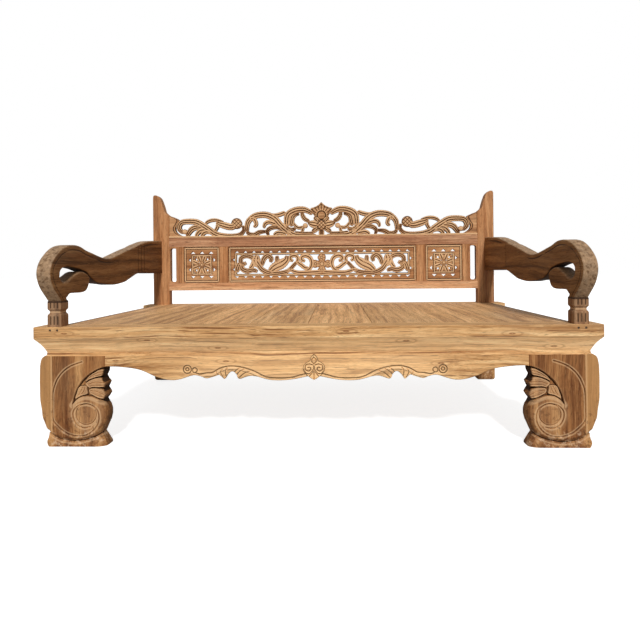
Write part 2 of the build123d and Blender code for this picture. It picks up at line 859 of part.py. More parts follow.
for side, hand in SIDES:
    with BuildPart() as outer_stile:
        block(
            mirrored((outer_stile_inner, post_inner), side),
            (back_face, back_face + back_thickness),
            (bay_low, bay_high),
        )
        fillet(outer_stile.edges().filter_by(Axis.Z), edge_rounding)
        with BuildSketch(facing(back_face)):
            with Locations(
                (side * (post_inner - outer_slot_border - outer_slot_width / 2), (bay_low + bay_high) / 2)
            ):
                RectangleRounded(
                    outer_slot_width, bay_height - 2 * outer_slot_border, outer_slot_radius
                )
        extrude(amount=-back_thickness, mode=Mode.SUBTRACT)
        block(
            mirrored((outer_stile_inner, post_inner - fit), side),
            post_tenon_y,
            (bay_low - tongue_length + fit, bay_low),
        )
        block(
            mirrored((outer_stile_inner, post_inner - fit), side),
            post_tenon_y,
            (bay_high, bay_high + tongue_length - fit),
        )
        block(
            mirrored((outer_stile_inner, outer_stile_inner + tongue_length), side),
            grown(post_tenon_y),
            (bay_low - tongue_length, bay_high + tongue_length),
            Mode.SUBTRACT,
        )
    save(outer_stile, f"outer_stile_{hand}")

    with BuildPart() as inner_stile:
        block(
            mirrored((inner_stile_inner, inner_stile_outer), side),
            (back_face, back_face + back_thickness),
            (bay_low, bay_high),
        )
        fillet(inner_stile.edges().filter_by(Axis.Z), edge_rounding)
        block(
            mirrored((inner_stile_inner + tongue_length, inner_stile_outer - tongue_length), side),
            post_tenon_y,
            (bay_low - tongue_length + fit, bay_high + tongue_length - fit),
        )
        for edge in (inner_stile_inner, inner_stile_outer - tongue_length):
            block(
                mirrored((edge, edge + tongue_length), side),
                grown(post_tenon_y),
                (bay_low, bay_high),
                Mode.SUBTRACT,
            )
    save(inner_stile, f"inner_stile_{hand}")

# ------------------------------------------------------------------ pierced panels
panel_front = back_mid - panel_thickness / 2
panel_middle_z = (bay_low + bay_high) / 2


def bead_places(length):
    """Centres of the border's piercings along one side of a panel of this length."""
    count = round(length / bead_pitch)
    return [(number - (count - 1) / 2) * length / count for number in range(count)]


# Vine of the long panel, right of the middle: (distance from the middle, height
# above the panel's middle)
# with the widths at its start, middle and end
vine_stems = (
    (((446, 12), (462, 2), (476, 16), (472, 40), (446, 52), (415, 46), (390, 24), (370, -6),
      (350, -32), (317, -50), (282, -56), (247, -54), (210, -46), (185, -30), (165, -8), (146, 13)), 18, 23, 16),
    (((146, 13), (139, 34), (154, 51), (180, 46), (184, 28), (168, 20)), 16, 17, 16),
    (((210, -42), (187, -36), (158, -46), (129, -52), (58, -50), (0, -46)), 12, 19, 14),
    (((100, -46), (70, -28), (58, 4), (68, 36), (94, 50), (117, 42), (116, 24), (98, 18)), 12, 20, 16),
    (((352, -8), (340, 32), (318, 52), (296, 36), (303, 12)), 16, 24, 15),
    (((366, -14), (386, 18), (378, 56)), 16, 40, 22),
    (((310, -48), (275, -18), (235, 2), (208, 26), (204, 52)), 20, 44, 16),
    (((460, 6), (470, -22), (440, -40), (405, -34), (380, -44)), 16, 24, 16),
    (((500, -46), (492, -14), (480, 12)), 16, 24, 16),
    (((400, 22), (408, -6), (425, -24)), 14, 20, 12),
    (((240, -6), (260, 18), (262, 52)), 16, 22, 14),
    (((146, 13), (120, -6), (100, -22), (78, -26)), 16, 20, 14),
)
# Shares of the opening that the flower's and the square panels' leaf carving take
flower_share = 0.5
petal_reach = 1.3
petal_size = 0.8
leaf_overlap = 1.12
leaf_ring = 0.8
leaf_ring_hole = 0.12
leaf_heart = 0.38
leaf_heart_hole = 0.1
bead_band = panel_border + bead_height + vine_strip
drawn_vine_reach = max(x for stem, *widths in vine_stems for x, z in stem)
drawn_vine_rise = max(abs(z) for stem, *widths in vine_stems for x, z in stem)
vine_spread = (inner_stile_inner - bead_band) / drawn_vine_reach
vine_rise = (bay_height / 2 - bead_band - vine_margin) / drawn_vine_rise

panel_bays = [("long_panel", 0, inner_stile_inner)]
for side, hand in SIDES:
    centre = side * (inner_stile_outer + outer_stile_inner) / 2
    panel_bays.append((f"square_panel_{hand}", centre, square_panel_width / 2))

for name, centre, half_width in panel_bays:
    with BuildPart() as panel:
        with BuildSketch(facing(panel_front)):
            with Locations((centre, panel_middle_z)):
                Rectangle(2 * half_width, bay_height)
                # Opening inside the beaded border
                Rectangle(
                    2 * (half_width - bead_band), bay_height - 2 * bead_band, mode=Mode.SUBTRACT
                )
            # Three-cornered piercings of the border, points towards the frame
            for place in bead_places(2 * half_width - 2 * panel_border):
                for up in (-1, 1):
                    base = panel_middle_z + up * (bay_height / 2 - panel_border - bead_height)
                    with BuildLine():
                        Polyline(
                            (centre + place - bead_width / 2, base),
                            (centre + place + bead_width / 2, base),
                            (centre + place, base + up * bead_height),
                            close=True,
                        )
                    make_face(mode=Mode.SUBTRACT)
            for place in bead_places(bay_height - 2 * bead_band):
                for side, hand in SIDES:
                    base = centre + side * (half_width - panel_border - bead_height)
                    with BuildLine():
                        Polyline(
                            (base, panel_middle_z + place - bead_width / 2),
                            (base, panel_middle_z + place + bead_width / 2),
                            (base + side * bead_height, panel_middle_z + place),
                            close=True,
                        )
                    make_face(mode=Mode.SUBTRACT)
            if name == "long_panel":
                for stem, start, middle, end in vine_stems:
                    for side, hand in SIDES:
                        route = [
                            (side * x * vine_spread, panel_middle_z + z * vine_rise) for x, z in stem
                        ]
                        upper, lower = stem_sides(route, start, middle, end)
                        with BuildLine():
                            Spline(*upper)
                            Line(upper[-1], lower[-1])
                            Spline(*lower)
                            Line(lower[0], upper[0])
                        make_face()
                # Flower at the middle
                flower_radius = flower_share * (bay_height / 2 - bead_band)
                with Locations((centre, panel_middle_z)):
                    Circle(flower_radius)
                    with PolarLocations(flower_radius * petal_reach, 4):
                        Circle(flower_radius * petal_size)
            else:
                # Leafy square at the middle, held by its corners, with small piercings
                leaf_radius = bay_height / 2 - bead_band
                with Locations((centre, panel_middle_z)):
                    Circle(leaf_radius * leaf_overlap)
                    with PolarLocations(leaf_radius * leaf_ring, 12, start_angle=15):
                        Circle(leaf_radius * leaf_ring_hole, mode=Mode.SUBTRACT)
                    with PolarLocations(leaf_radius * leaf_heart, 4, start_angle=45):
                        Circle(leaf_radius * leaf_heart_hole, mode=Mode.SUBTRACT)
        extrude(amount=-panel_thickness)
        block(
            (centre - half_width, centre + half_width),
            post_tenon_y,
            (bay_high, bay_high + tongue_length - fit),
        )
        block(
            (centre - half_width, centre + half_width),
            post_tenon_y,
            (bay_low - tongue_length + fit, bay_low),
        )
        block(
            (centre - half_width - tongue_length + fit, centre - half_width),
            post_tenon_y,
            (bay_low + fit, bay_high - fit),
        )
        block(
            (centre + half_width, centre + half_width + tongue_length - fit),
            post_tenon_y,
            (bay_low + fit, bay_high - fit),
        )
    save(panel, name)

# ------------------------------------------------------------------ crest
# Leaf scrolls right of the middle: (distance from the middle, height above the top rail) with
# the widths at the start, middle and end
crest_stems = (
    (((823, 28), (845, 49), (848, 70), (833, 91), (797, 97), (744, 93), (703, 71), (667, 47),
      (633, 23), (591, 10), (533, 7), (485, 16), (461, 42), (467, 71)), 22, 36, 16),
    (((703, 64), (744, 62), (773, 50), (794, 22), (800, 5)), 22, 32, 16),
    (((685, 45), (716, 44), (738, 25), (748, 4)), 16, 25, 14),
    (((650, 26), (682, 34), (702, 26), (715, 5)), 16, 24, 14),
    (((690, 84), (673, 96), (650, 103), (620, 103), (584, 94)), 14, 20, 10),
    (((626, 90), (605, 80), (579, 72), (538, 62), (510, 68)), 20, 40, 28),
    (((640, 30), (622, 56), (615, 80)), 16, 18, 20),
    (((444, 30), (442, 65), (432, 95), (402, 121), (366, 131), (326, 130), (291, 117), (267, 98),
      (245, 72), (216, 45), (186, 21), (152, 8), (99, 6), (30, 6)), 22, 38, 16),
    (((444, 36), (427, 18), (397, 14), (367, 29), (321, 34)), 18, 27, 12),
    (((428, 108), (402, 106), (390, 90), (388, 72), (403, 59)), 18, 24, 14),
    (((267, 75), (309, 88), (334, 78), (343, 52)), 18, 25, 12),
    (((233, 45), (268, 58), (303, 52), (321, 34), (315, 9)), 18, 26, 14),
    (((284, 8), (257, 25), (210, 18)), 18, 25, 16),
    (((302, 136), (273, 128), (242, 133), (212, 146)), 8, 25, 18),
    (((207, 62), (205, 96), (200, 124), (185, 141), (160, 153), (133, 159), (103, 159), (78, 150),
      (52, 134)), 28, 38, 24),
    (((183, 60), (175, 90), (170, 115), (153, 130), (130, 134)), 22, 28, 12),
    (((213, 74), (201, 50), (180, 40), (152, 48)), 20, 28, 18),
    (((168, 84), (152, 62), (134, 52), (104, 58)), 14, 20, 14),
    (((112, 152), (112, 128), (98, 104), (70, 88)), 16, 26, 18),
    (((158, 28), (117, 23), (64, 22), (26, 34)), 10, 15, 12),
    (((205, 40), (190, 22), (176, 8)), 14, 18, 14),
    (((104, 60), (112, 40), (118, 20)), 12, 18, 12),
    (((10, 66), (44, 72), (82, 82)), 20, 44, 8),
    (((12, 58), (32, 44), (58, 28)), 18, 30, 8),
    (((10, 78), (26, 96), (44, 116)), 18, 30, 10),
)
crest_bosses = (((502, 81), 33), ((812, 36), 15), ((95, 64), 15))
end_block = ((905, 132), (880, 124), (847, 106), (856, 80), (868, 60), (862, 35), (838, 16), (815, 8))
palmette = ((0, 202), (20, 184), (44, 172), (63, 166), (56, 146), (42, 120), (24, 96))
centre_bosses = ((66, 27), (118, 26), (22, 20))

crest_rise = crest_height / palmette[0][1]


def crest_point(side, point):
    """Place on the left (-1) or right (+1) half of the crest, spread to fill it."""
    x, height = point
    return (side * x * post_inner / end_block[0][0], crest_low + height * crest_rise)


with BuildPart() as crest:
    with BuildSketch(facing(back_mid - crest_thickness / 2)):
        with Locations((0, crest_low + crest_strip / 2)):
            Rectangle(2 * post_inner, crest_strip)
        for stem, start, middle, end in crest_stems:
            for side, hand in SIDES:
                route = [crest_point(side, point) for point in stem]
                upper, lower = stem_sides(route, start, middle, end)
                with BuildLine():
                    Spline(*upper)
                    Line(upper[-1], lower[-1])
                    Spline(*lower)
                    Line(lower[0], upper[0])
                make_face()
        for centre, radius in crest_bosses:
            with Locations(crest_point(-1, centre), crest_point(1, centre)):
                Circle(radius * crest_rise)
        for height, radius in centre_bosses:
            with Locations(crest_point(1, (0, height))):
                Circle(radius * crest_rise)
        for side, hand in SIDES:
            with BuildLine():
                Spline(*[crest_point(side, point) for point in end_block])
                Polyline(
                    crest_point(side, end_block[-1]),
                    crest_point(side, (end_block[-1][0], 0)),
                    crest_point(side, (end_block[0][0], 0)),
                    crest_point(side, end_block[0]),
                )
            make_face()
            with BuildLine():
                Polyline(*[crest_point(side, point) for point in palmette])
                Polyline(
                    crest_point(side, palmette[-1]),
                    crest_point(side, (0, palmette[-1][1])),
                    crest_point(side, palmette[0]),
                )
            make_face()
        # Nothing of the carving reaches below the top rail's upper edge
        with Locations((0, crest_low - top_rail_height / 2)):
            Rectangle(2 * post_outer, top_rail_height, mode=Mode.SUBTRACT)
    extrude(amount=-crest_thickness)
    block((-post_inner, post_inner), post_tenon_y, (crest_low - tongue_length + fit, crest_low))
    for side, hand in SIDES:
        block(
            mirrored((post_inner, post_inner + tongue_length - fit), side), post_tenon_y, crest_tongue_z
        )
save(crest, "crest_panel")
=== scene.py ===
"""Looks of a carved teak daybed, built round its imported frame.

Everything is in metres, in the frame's own axes: X along the daybed, Y from front to back and
Z up from the floor.  Carved pieces are surfaces computed with numpy; plain rails and boards
stay as the frame gives them and get a wood finish.
"""
from __future__ import annotations

import json
import logging
import math
from dataclasses import dataclass, replace
from enum import Enum
from typing import Any, Callable, Iterable, Sequence

import bmesh
import bpy
import numpy as np
from mathutils import Matrix

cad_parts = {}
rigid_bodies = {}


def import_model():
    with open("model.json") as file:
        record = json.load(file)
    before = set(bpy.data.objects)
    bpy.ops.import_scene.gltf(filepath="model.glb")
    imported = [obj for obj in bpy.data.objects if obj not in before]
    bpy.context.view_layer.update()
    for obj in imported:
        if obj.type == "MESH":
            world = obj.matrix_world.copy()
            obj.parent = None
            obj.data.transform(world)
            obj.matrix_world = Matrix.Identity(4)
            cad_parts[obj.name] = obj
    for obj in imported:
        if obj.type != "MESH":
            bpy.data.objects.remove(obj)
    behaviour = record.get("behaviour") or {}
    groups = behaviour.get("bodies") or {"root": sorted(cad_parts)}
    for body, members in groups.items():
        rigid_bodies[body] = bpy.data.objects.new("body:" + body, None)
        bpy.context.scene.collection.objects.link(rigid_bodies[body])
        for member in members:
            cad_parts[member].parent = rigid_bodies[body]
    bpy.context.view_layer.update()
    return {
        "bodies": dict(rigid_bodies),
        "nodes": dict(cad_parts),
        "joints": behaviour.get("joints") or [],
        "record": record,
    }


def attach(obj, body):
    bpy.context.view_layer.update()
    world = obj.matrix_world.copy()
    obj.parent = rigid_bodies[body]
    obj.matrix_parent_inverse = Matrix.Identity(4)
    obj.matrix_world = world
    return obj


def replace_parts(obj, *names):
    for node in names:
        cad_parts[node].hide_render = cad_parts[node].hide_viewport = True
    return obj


LOG = logging.getLogger("daybed")
MM = 0.001
PLACES_PER_SPAN = 24
Array = np.ndarray
Points = Sequence[tuple[float, float]]
Colour = tuple[float, float, float]
WHITE = (1.0, 1.0, 1.0, 1.0)


class Grain(Enum):
    """Direction that the wood's fibres run in."""

    ALONG_X = 0
    ALONG_Y = 1
    ALONG_Z = 2


class Side(Enum):
    """Half of the daybed, as the sign of X."""

    LEFT = -1
    RIGHT = 1

    @property
    def tag(self) -> str:
        """Word that ends this side's node names."""
        return self.name.lower()


# ---------------------------------------------------------------- curves and shaping functions
def smooth_step(values: Array) -> Array:
    """Ease from 0 to 1: three v squared minus two v cubed, held at 0 and 1 outside."""
    clipped = np.clip(values, 0.0, 1.0)
    return clipped * clipped * (3.0 - 2.0 * clipped)


def bell(gap: Array, width: float) -> Array:
    """Fall smoothly from 1 where the gap is 0 to 0.37 at the width, on either side."""
    return np.exp(-((gap / width) ** 2))


def quarter_round(share: Array) -> Array:
    """Drop of a rounded arris: 1 at its rim, where the share is 0, and 0 from a share of 1."""
    return 1 - np.sqrt(1 - (1 - np.clip(share, 0, 1)) ** 2)


def xyz(x: Array, y: Array | float, z: Array) -> Array:
    """Points with these coordinates, which are spread to one shape."""
    return np.stack(np.broadcast_arrays(x, y, z), axis=-1)


def as_places(across: Array, height: Array) -> Array:
    """List a grid's points as (across, height) pairs."""
    return np.stack([grid.ravel() for grid in np.broadcast_arrays(across, height)], axis=1)


def curve_through(points: Iterable[Sequence[float]], count: int, closed: bool = False) -> Array:
    """Smooth line through points, as even steps of its length.

    Each span is a Catmull-Rom cubic: the tangent at a point is half the step between its two
    neighbours.

    Args:
        points: Places the line passes through, in any number of dimensions.
        count: Number of places returned.
        closed: Whether the line returns to its first point.

    Returns:
        Array of shape (count, dimensions).
    """
    knots = np.asarray(list(points), dtype=float)
    if closed:
        knots = np.vstack([knots[-1:], knots, knots[:2]])
    else:
        knots = np.vstack([2 * knots[0] - knots[1], knots, 2 * knots[-1] - knots[-2]])
    spans = len(knots) - 3
    position = np.linspace(0.0, spans, spans * PLACES_PER_SPAN + 1)
    span = np.minimum(position.astype(int), spans - 1)
    t = (position - span)[:, None]
    a, b, c, d = (knots[span + shift] for shift in range(4))
    dense = 0.5 * (2 * b + (c - a) * t + (2 * a - 5 * b + 4 * c - d) * t**2 + (3 * b - a - 3 * c + d) * t**3)
    steps = np.linalg.norm(np.diff(dense, axis=0), axis=1)
    travelled = np.concatenate([[0.0], np.cumsum(steps)])
    wanted = np.linspace(0.0, travelled[-1], count + 1 if closed else count)[:count]
    return np.stack([np.interp(wanted, travelled, column) for column in dense.T], axis=1)


def distance_to_line(places: Array, line: Array) -> tuple[Array, Array]:
    """Distance from each place to a line of straight pieces.

    Args:
        places: Array of shape (n, 2).
        line: Array of shape (m, 2).

    Returns:
        The distances, and how far along the line, from 0 to 1, each nearest point lies.
    """
    best = np.full(len(places), np.inf)
    share = np.zeros(len(places))
    pieces = len(line) - 1
    for number in range(pieces):
        start, step = line[number], line[number + 1] - line[number]
        along = np.clip((places - start) @ step / max(step @ step, 1e-12), 0.0, 1.0)
        gap = np.linalg.norm(places - start - along[:, None] * step, axis=1)
        closer = gap < best
        best = np.where(closer, gap, best)
        share = np.where(closer, (number + along) / pieces, share)
    return best, share


def gap_to(places: Array, points: Points, count: int) -> Array:
    """Distance from each place to the smooth line through some points."""
    return distance_to_line(places, curve_through(points, count))[0]


def width_at(outline: Array, heights: Array) -> Array:
    """Distance of an outline from the middle at the given heights."""
    order = np.argsort(outline[:, 1])
    return np.interp(heights, outline[order, 1], outline[order, 0])


def level_heights(outline: Points, count: int) -> Array:
    """Heights of level rings over an outline, just clear of its tips, as a column."""
    levels = [height for _, height in outline]
    return np.linspace(min(levels) + 0.5, max(levels) - 0.5, count)[:, None]


def unevenness(places: Array, wavelength: float, seed: int) -> Array:
    """Gentle hand-worked waviness between -1 and 1: a sum of sines in turned directions.

    Args:
        places: Array of shape (..., 3).
        wavelength: Length of the slowest wave.
        seed: Chooses the directions and phases.

    Returns:
        Array of shape (...).
    """
    random = np.random.default_rng(seed)
    total = np.zeros(places.shape[:-1])
    for octave in range(4):
        direction = random.normal(size=3)
        direction /= np.linalg.norm(direction)
        turns = 2 * math.pi * 1.7**octave / wavelength
        total += np.sin(places @ direction * turns + random.uniform(0, 6.28)) / 1.7**octave
    return total / 2.2


# ---------------------------------------------------------------- mesh building
class SurfaceSet:
    """Closed surfaces that together make one piece."""

    def __init__(self, name: str) -> None:
        """Start an empty piece.

        Args:
            name: Name of the finished object.
        """
        self.name = name
        self.points: list[Array] = []
        self.faces: list[list[int]] = []
        self.wear: list[Array] = []
        self.count = 0

    def add_rings(self, rings: Array, wear: Array | None = None) -> None:
        """Skin a stack of closed rings and cap both ends with flat polygons.

        Args:
            rings: Array of shape (rings, points per ring, 3), in millimetres.
            wear: Per point, below 0 for dirt and painted shade, above 0 for rubbing and painted highlights.
        """
        rows, columns = rings.shape[:2]
        index = self.count + np.arange(rows * columns).reshape(rows, columns)
        onwards = np.roll(index, -1, axis=1)
        quads = np.stack([index[:-1], onwards[:-1], onwards[1:], index[1:]], axis=-1).reshape(-1, 4)
        self.faces.extend(quads.tolist())
        self.faces.append(index[0, ::-1].tolist())
        self.faces.append(index[-1].tolist())
        self.points.append(rings.reshape(-1, 3) * MM)
        self.wear.append((np.zeros((rows, columns)) if wear is None else wear).reshape(-1))
        self.count += rows * columns

    def add_strips(self, *strips: tuple[Array, Array | float]) -> None:
        """Skin rings that are made of strips side by side, each with its points and their wear values."""
        wear = [np.broadcast_to(worn_and_shaded, points.shape[:-1]) for points, worn_and_shaded in strips]
        self.add_rings(np.concatenate([points for points, _ in strips], axis=1), np.concatenate(wear, axis=1))

    def build(self, wood: "TeakFinish", sharp_angle: float = 38.0) -> bpy.types.Object:
        """Make the mesh object.

        Args:
            wood: Finish of the piece.
            sharp_angle: Edges that turn more than this many degrees stay crisp.

        Returns:
            The object, at the origin, riding on the one body.
        """
        mesh = bpy.data.meshes.new(self.name)
        mesh.from_pydata(np.vstack(self.points).tolist(), [], self.faces)
        worn_and_shaded = mesh.attributes.new("wear", "FLOAT", "POINT")
        worn_and_shaded.data.foreach_set("value", np.concatenate(self.wear).astype(np.float32))
        shell = bmesh.new()
        shell.from_mesh(mesh)
        bmesh.ops.recalc_face_normals(shell, faces=shell.faces)
        shell.to_mesh(mesh)
        shell.free()
        mesh.shade_smooth()
        mesh.set_sharp_from_angle(angle=math.radians(sharp_angle))
        mesh.materials.append(wood.material())
        piece = bpy.data.objects.new(self.name, mesh)
        bpy.context.scene.collection.objects.link(piece)
        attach(piece, "root")
        LOG.info("%s: %d faces", self.name, len(self.faces))
        return piece


def rounded_section(radius_share_a: Array, radius_share_b: Array, per_corner: int, per_edge: int) -> Array:
    """Rounded rectangle between -1 and 1 both ways, anticlockwise.

    Each corner is a quarter ellipse whose half axes are the given shares of the half sides.

    Args:
        radius_share_a: Corner radius over the half side along the first axis, per ring.
        radius_share_b: Corner radius over the half side along the second axis, per ring.
        per_corner: Points on a corner.
        per_edge: Points added between corners.

    Returns:
        Array of shape (rings, points, 2).
    """
    ra, rb = np.clip(radius_share_a, 0, 0.999)[:, None], np.clip(radius_share_b, 0, 0.999)[:, None]
    loops = []
    for quarter in range(4):
        angle = np.linspace(0, math.pi / 2, per_corner) + quarter * math.pi / 2
        sign_a, sign_b = ((1, 1), (-1, 1), (-1, -1), (1, -1))[quarter]
        across, along = sign_a * (1 - ra) + ra * np.cos(angle), sign_b * (1 - rb) + rb * np.sin(angle)
        loops.append(np.stack([across, along], axis=-1))
    filled = []
    for quarter, corner in enumerate(loops):
        following = loops[(quarter + 1) % 4][:, :1]
        share = np.linspace(0, 1, per_edge + 2)[1:-1][None, :, None]
        filled += [corner, corner[:, -1:] * (1 - share) + following * share]
    return np.concatenate(filled, axis=1)


def ruled_bar(
    left: Array, right: Array, low: float, high: float, radius: float, per_edge: int = 6
) -> Array:
    """Rings of a plank whose two edges follow two lines in one plane.

    Each ring is a rounded rectangle: across, it runs from the left line to the right line, and
    through the plank from low to high.

    Args:
        left: Array of shape (rings, 2), one edge of the plank.
        right: Array of shape (rings, 2), the other edge.
        low: One face of the plank.
        high: Its other face.
        radius: Rounding of the four long arrises.
        per_edge: Points between corners.

    Returns:
        Array of shape (rings, points, 3): the plane's two axes, then the thickness axis.
    """
    middle, half = (left + right) / 2, (right - left) / 2
    width = np.linalg.norm(half, axis=1)
    thick = (high - low) / 2
    shares = radius / np.maximum(width, 1e-6), np.full(len(width), radius / thick)
    section = rounded_section(*shares, 4, per_edge)
    flat = middle[:, None] + section[..., :1] * half[:, None]
    through = (high + low) / 2 + section[..., 1:] * thick
    return np.concatenate([flat, through], axis=-1)


def as_upright(rings: Array) -> Array:
    """Turn (X, Z, Y) rings, drawn on an upright front plane, into X, Y, Z."""
    return rings[..., [0, 2, 1]]


def as_side(rings: Array) -> Array:
    """Turn (Y, Z, X) rings, drawn on an upright side plane, into X, Y, Z."""
    return rings[..., [2, 0, 1]]


# ---------------------------------------------------------------- shader maths
class Signal:
    """Number or colour inside a node tree; Python arithmetic on it adds Math nodes."""

    def __init__(self, graph: "Graph", socket: bpy.types.NodeSocket) -> None:
        """Wrap one output socket of the graph."""
        self.graph = graph
        self.socket = socket

    def math(self, operation: str, *others: Any) -> "Signal":
        """Add one Math node that takes this number first."""
        return self.graph.node("ShaderNodeMath", {"operation": operation}, [self, *others])

    def __add__(self, other: Any) -> "Signal":
        """Sum."""
        return self.math("ADD", other)

    __radd__ = __add__

    def __sub__(self, other: Any) -> "Signal":
        """Difference."""
        return self.math("SUBTRACT", other)

    def __mul__(self, other: Any) -> "Signal":
        """Product."""
        return self.math("MULTIPLY", other)

    def __pow__(self, other: Any) -> "Signal":
        """Power."""
        return self.math("POWER", other)

    def between(self, low: float, high: float) -> "Signal":
        """Smooth share, 0 to 1, of the way from low to high."""
        return self.graph.node(
            "ShaderNodeMapRange",
            {"interpolation_type": "SMOOTHSTEP"},
            {"Value": self, "From Min": low, "From Max": high},
        )


class Graph:
    """Node tree of one material."""

    def __init__(self, owner: bpy.types.Material | bpy.types.World) -> None:
        """Start the node tree of a material or of the surroundings afresh."""
        owner.use_nodes = True
        self.tree = owner.node_tree
        self.tree.nodes.clear()

    def node(self, kind: str, settings: dict[str, Any], values: Any, output: int | str = 0) -> Signal:
        """Add any node.

        Args:
            kind: The node's type.
            settings: Its own properties, set first; "stops" fills a colour ramp.
            values: Numbers, colours or signals for its inputs, by place or by name.
            output: Which output is returned.

        Returns:
            The chosen output.
        """
        made = self.tree.nodes.new(kind)
        for key, setting in settings.items():
            if key == "stops":
                ramp = made.color_ramp
                while len(ramp.elements) < len(setting):
                    ramp.elements.new(1.0)
                for element, (place, colour) in zip(ramp.elements, setting):
                    element.position = place
                    element.color = (*colour, 1.0)
            else:
                setattr(made, key, setting)
        pairs = values.items() if isinstance(values, dict) else enumerate(values)
        for key, value in pairs:
            if isinstance(value, Signal):
                self.tree.links.new(value.socket, made.inputs[key])
            else:
                made.inputs[key].default_value = value
        return Signal(self, made.outputs[output] if made.outputs else None)

    def blend(self, share: Any, first: Any, second: Any, mode: str = "MIX") -> Signal:
        """Mix two colours.

        Args:
            share: How much of the second colour, from 0 to 1.
            first: Colour or signal.
            second: Colour or signal.
            mode: Blend type.

        Returns:
            The mixed colour.
        """
        settings = {"data_type": "RGBA", "blend_type": mode, "clamp_factor": True}
        ends = [(*end, 1.0) if isinstance(end, tuple) else end for end in (first, second)]
        return self.node("ShaderNodeMix", settings, {0: share, 6: ends[0], 7: ends[1]}, output=2)

    def noise(self, where: Any, scale: float, detail: float, rough: float = 0.5) -> Signal:
        """Value noise at a place.

        Args:
            where: Position signal.
            scale: Features per metre.
            detail: Octaves.
            rough: Strength of each octave against the one before.

        Returns:
            Signal between 0 and 1.
        """
        values = {"Vector": where, "Scale": scale, "Detail": detail, "Roughness": rough}
        return self.node("ShaderNodeTexNoise", {}, values)

    def vector(self, operation: str, *values: Any) -> Signal:
        """Add one Vector Math node."""
        return self.node("ShaderNodeVectorMath", {"operation": operation}, values)

    def place(self) -> Signal:
        """Object coordinates."""
        return self.node("ShaderNodeTexCoord", {}, {}, output="Object")

    def axis(self, place: Signal, name: str) -> Signal:
        """One coordinate of a place."""
        return self.node("ShaderNodeSeparateXYZ", {}, [place], output=name)

    def wear(self) -> Signal:
        """The piece's wear attribute: below 0 for dirt and painted shade, above 0 for rubbing and painted
        highlights.
        """
        return self.node("ShaderNodeAttribute", {"attribute_name": "wear"}, {}, output="Fac")


@dataclass(frozen=True)
class TeakFinish:
    """Oiled, aged teak: stripes, cathedral figure, pores, weathering, dirt and rubbing on the edges, with
    painted shade and painted highlights.
    """

    name: str
    slot: str
    dark: Colour
    middle: Colour
    light: Colour
    grain: Grain
    seed: float = 0.0
    figure: float = 0.5
    streak: float = 0.45
    streak_tone: Colour = (0.20, 0.075, 0.025)
    weathering: float = 0.3
    weather_tone: Colour = (0.36, 0.29, 0.21)
    # Dirt in the pores, and dirt and painted shade where the wear attribute is below 0
    dirt_and_shade_tone: Colour = (0.035, 0.016, 0.007)
    # Rubbing and painted highlights where the wear attribute is above 0
    rub_and_highlight_tone: Colour = (0.68, 0.43, 0.23)
    fineness: float = 1.0
    relief: float = 0.5
    sheen: float = 0.14
    extra: Callable[[Graph, Signal, Signal], Signal] | None = None

    def layer(
        self, graph: Graph, place: Signal, along: float, across: float, detail: float, rough: float
    ) -> Signal:
        """Noise drawn out along the fibres.

        Args:
            graph: The material's graph.
            place: Position signal.
            along: Features per metre along the fibres.
            across: Features per metre across them, before the finish's fineness.
            detail: Octaves.
            rough: Strength of each octave against the one before.

        Returns:
            Signal between 0 and 1, shifted by the finish's seed.
        """
        factors = [across * self.fineness] * 3
        factors[self.grain.value] = along
        shift = (self.seed * 1.37, self.seed * 2.11, self.seed * 0.73)
        return graph.noise(graph.vector("MULTIPLY_ADD", place, tuple(factors), shift), 1.0, detail, rough)

    def material(self) -> bpy.types.Material:
        """Build the material once, and give it again when asked again."""
        made = bpy.data.materials.get(self.name)
        if made is not None:
            return made
        made = bpy.data.materials.new(self.name)
        graph = Graph(made)
        place = graph.place()
        # Slow drift of the fibres
        drift = graph.node(
            "ShaderNodeTexNoise", {}, {"Vector": place, "Scale": 2.2, "Detail": 2.0}, output="Color"
        )
        bent = graph.vector("MULTIPLY_ADD", graph.vector("SUBTRACT", drift, (0.5,) * 3), (0.05,) * 3, place)
        stripes = self.layer(graph, bent, 0.9, 34.0, 5.0, 0.62)
        fibres = self.layer(graph, bent, 9.0, 300.0, 3.0, 0.6)
        pores = self.layer(graph, bent, 26.0, 620.0, 1.0, 0.4)
        streaks = self.layer(graph, bent, 1.6, 105.0, 2.0, 0.5)
        hills = self.layer(graph, bent, 0.75, 7.5, 2.0, 0.45)
        patches = self.layer(graph, place, 2.0, 5.0, 4.0, 0.6)
        ring_lines = ((hills * 90.0).math("SINE") * 0.5 + 0.5) ** 3.0
        ramp = {"stops": ((0.34, self.dark), (0.5, self.middle), (0.67, self.light))}
        tone = graph.node("ShaderNodeValToRGB", ramp, [stripes])
        ragged = graph.wear() * (patches * 0.8 + 0.6)
        for share, colour in (
            (ring_lines * (0.42 * self.figure), self.dark),
            (fibres.between(0.52, 0.70) * 0.4, self.light),
            (fibres.between(0.47, 0.30) * 0.5, self.dark),
            (streaks.between(0.44, 0.33) * self.streak, self.streak_tone),
            (pores.between(0.42, 0.30) * 0.5, self.dirt_and_shade_tone),
            (patches.between(0.48, 0.78) * self.weathering, self.weather_tone),
            # Dirt and painted shade where wear is below 0, rubbing and painted highlights where it is above 0
            ((ragged * -1.0).between(0.04, 1.0) * 0.93, self.dirt_and_shade_tone),
            (ragged.between(0.05, 1.0) * 0.6, self.rub_and_highlight_tone),
        ):
            tone = graph.blend(share, tone, colour)
        if self.extra is not None:
            tone = self.extra(graph, place, tone)
        rough = 0.52 + patches * 0.22 + pores.between(0.42, 0.30) * 0.2
        height = stripes * 0.5 + fibres * 0.35 + pores.between(0.30, 0.42) * 0.35 + ring_lines * -0.12
        bump = graph.node(
            "ShaderNodeBump", {}, {"Strength": self.relief, "Distance": 0.0012, "Height": height}
        )
        values = {"Base Color": tone, "Roughness": rough, "Normal": bump, "Specular IOR Level": self.sheen}
        shader = graph.node("ShaderNodeBsdfPrincipled", {}, values)
        graph.node("ShaderNodeOutputMaterial", {}, {"Surface": shader})
        return made


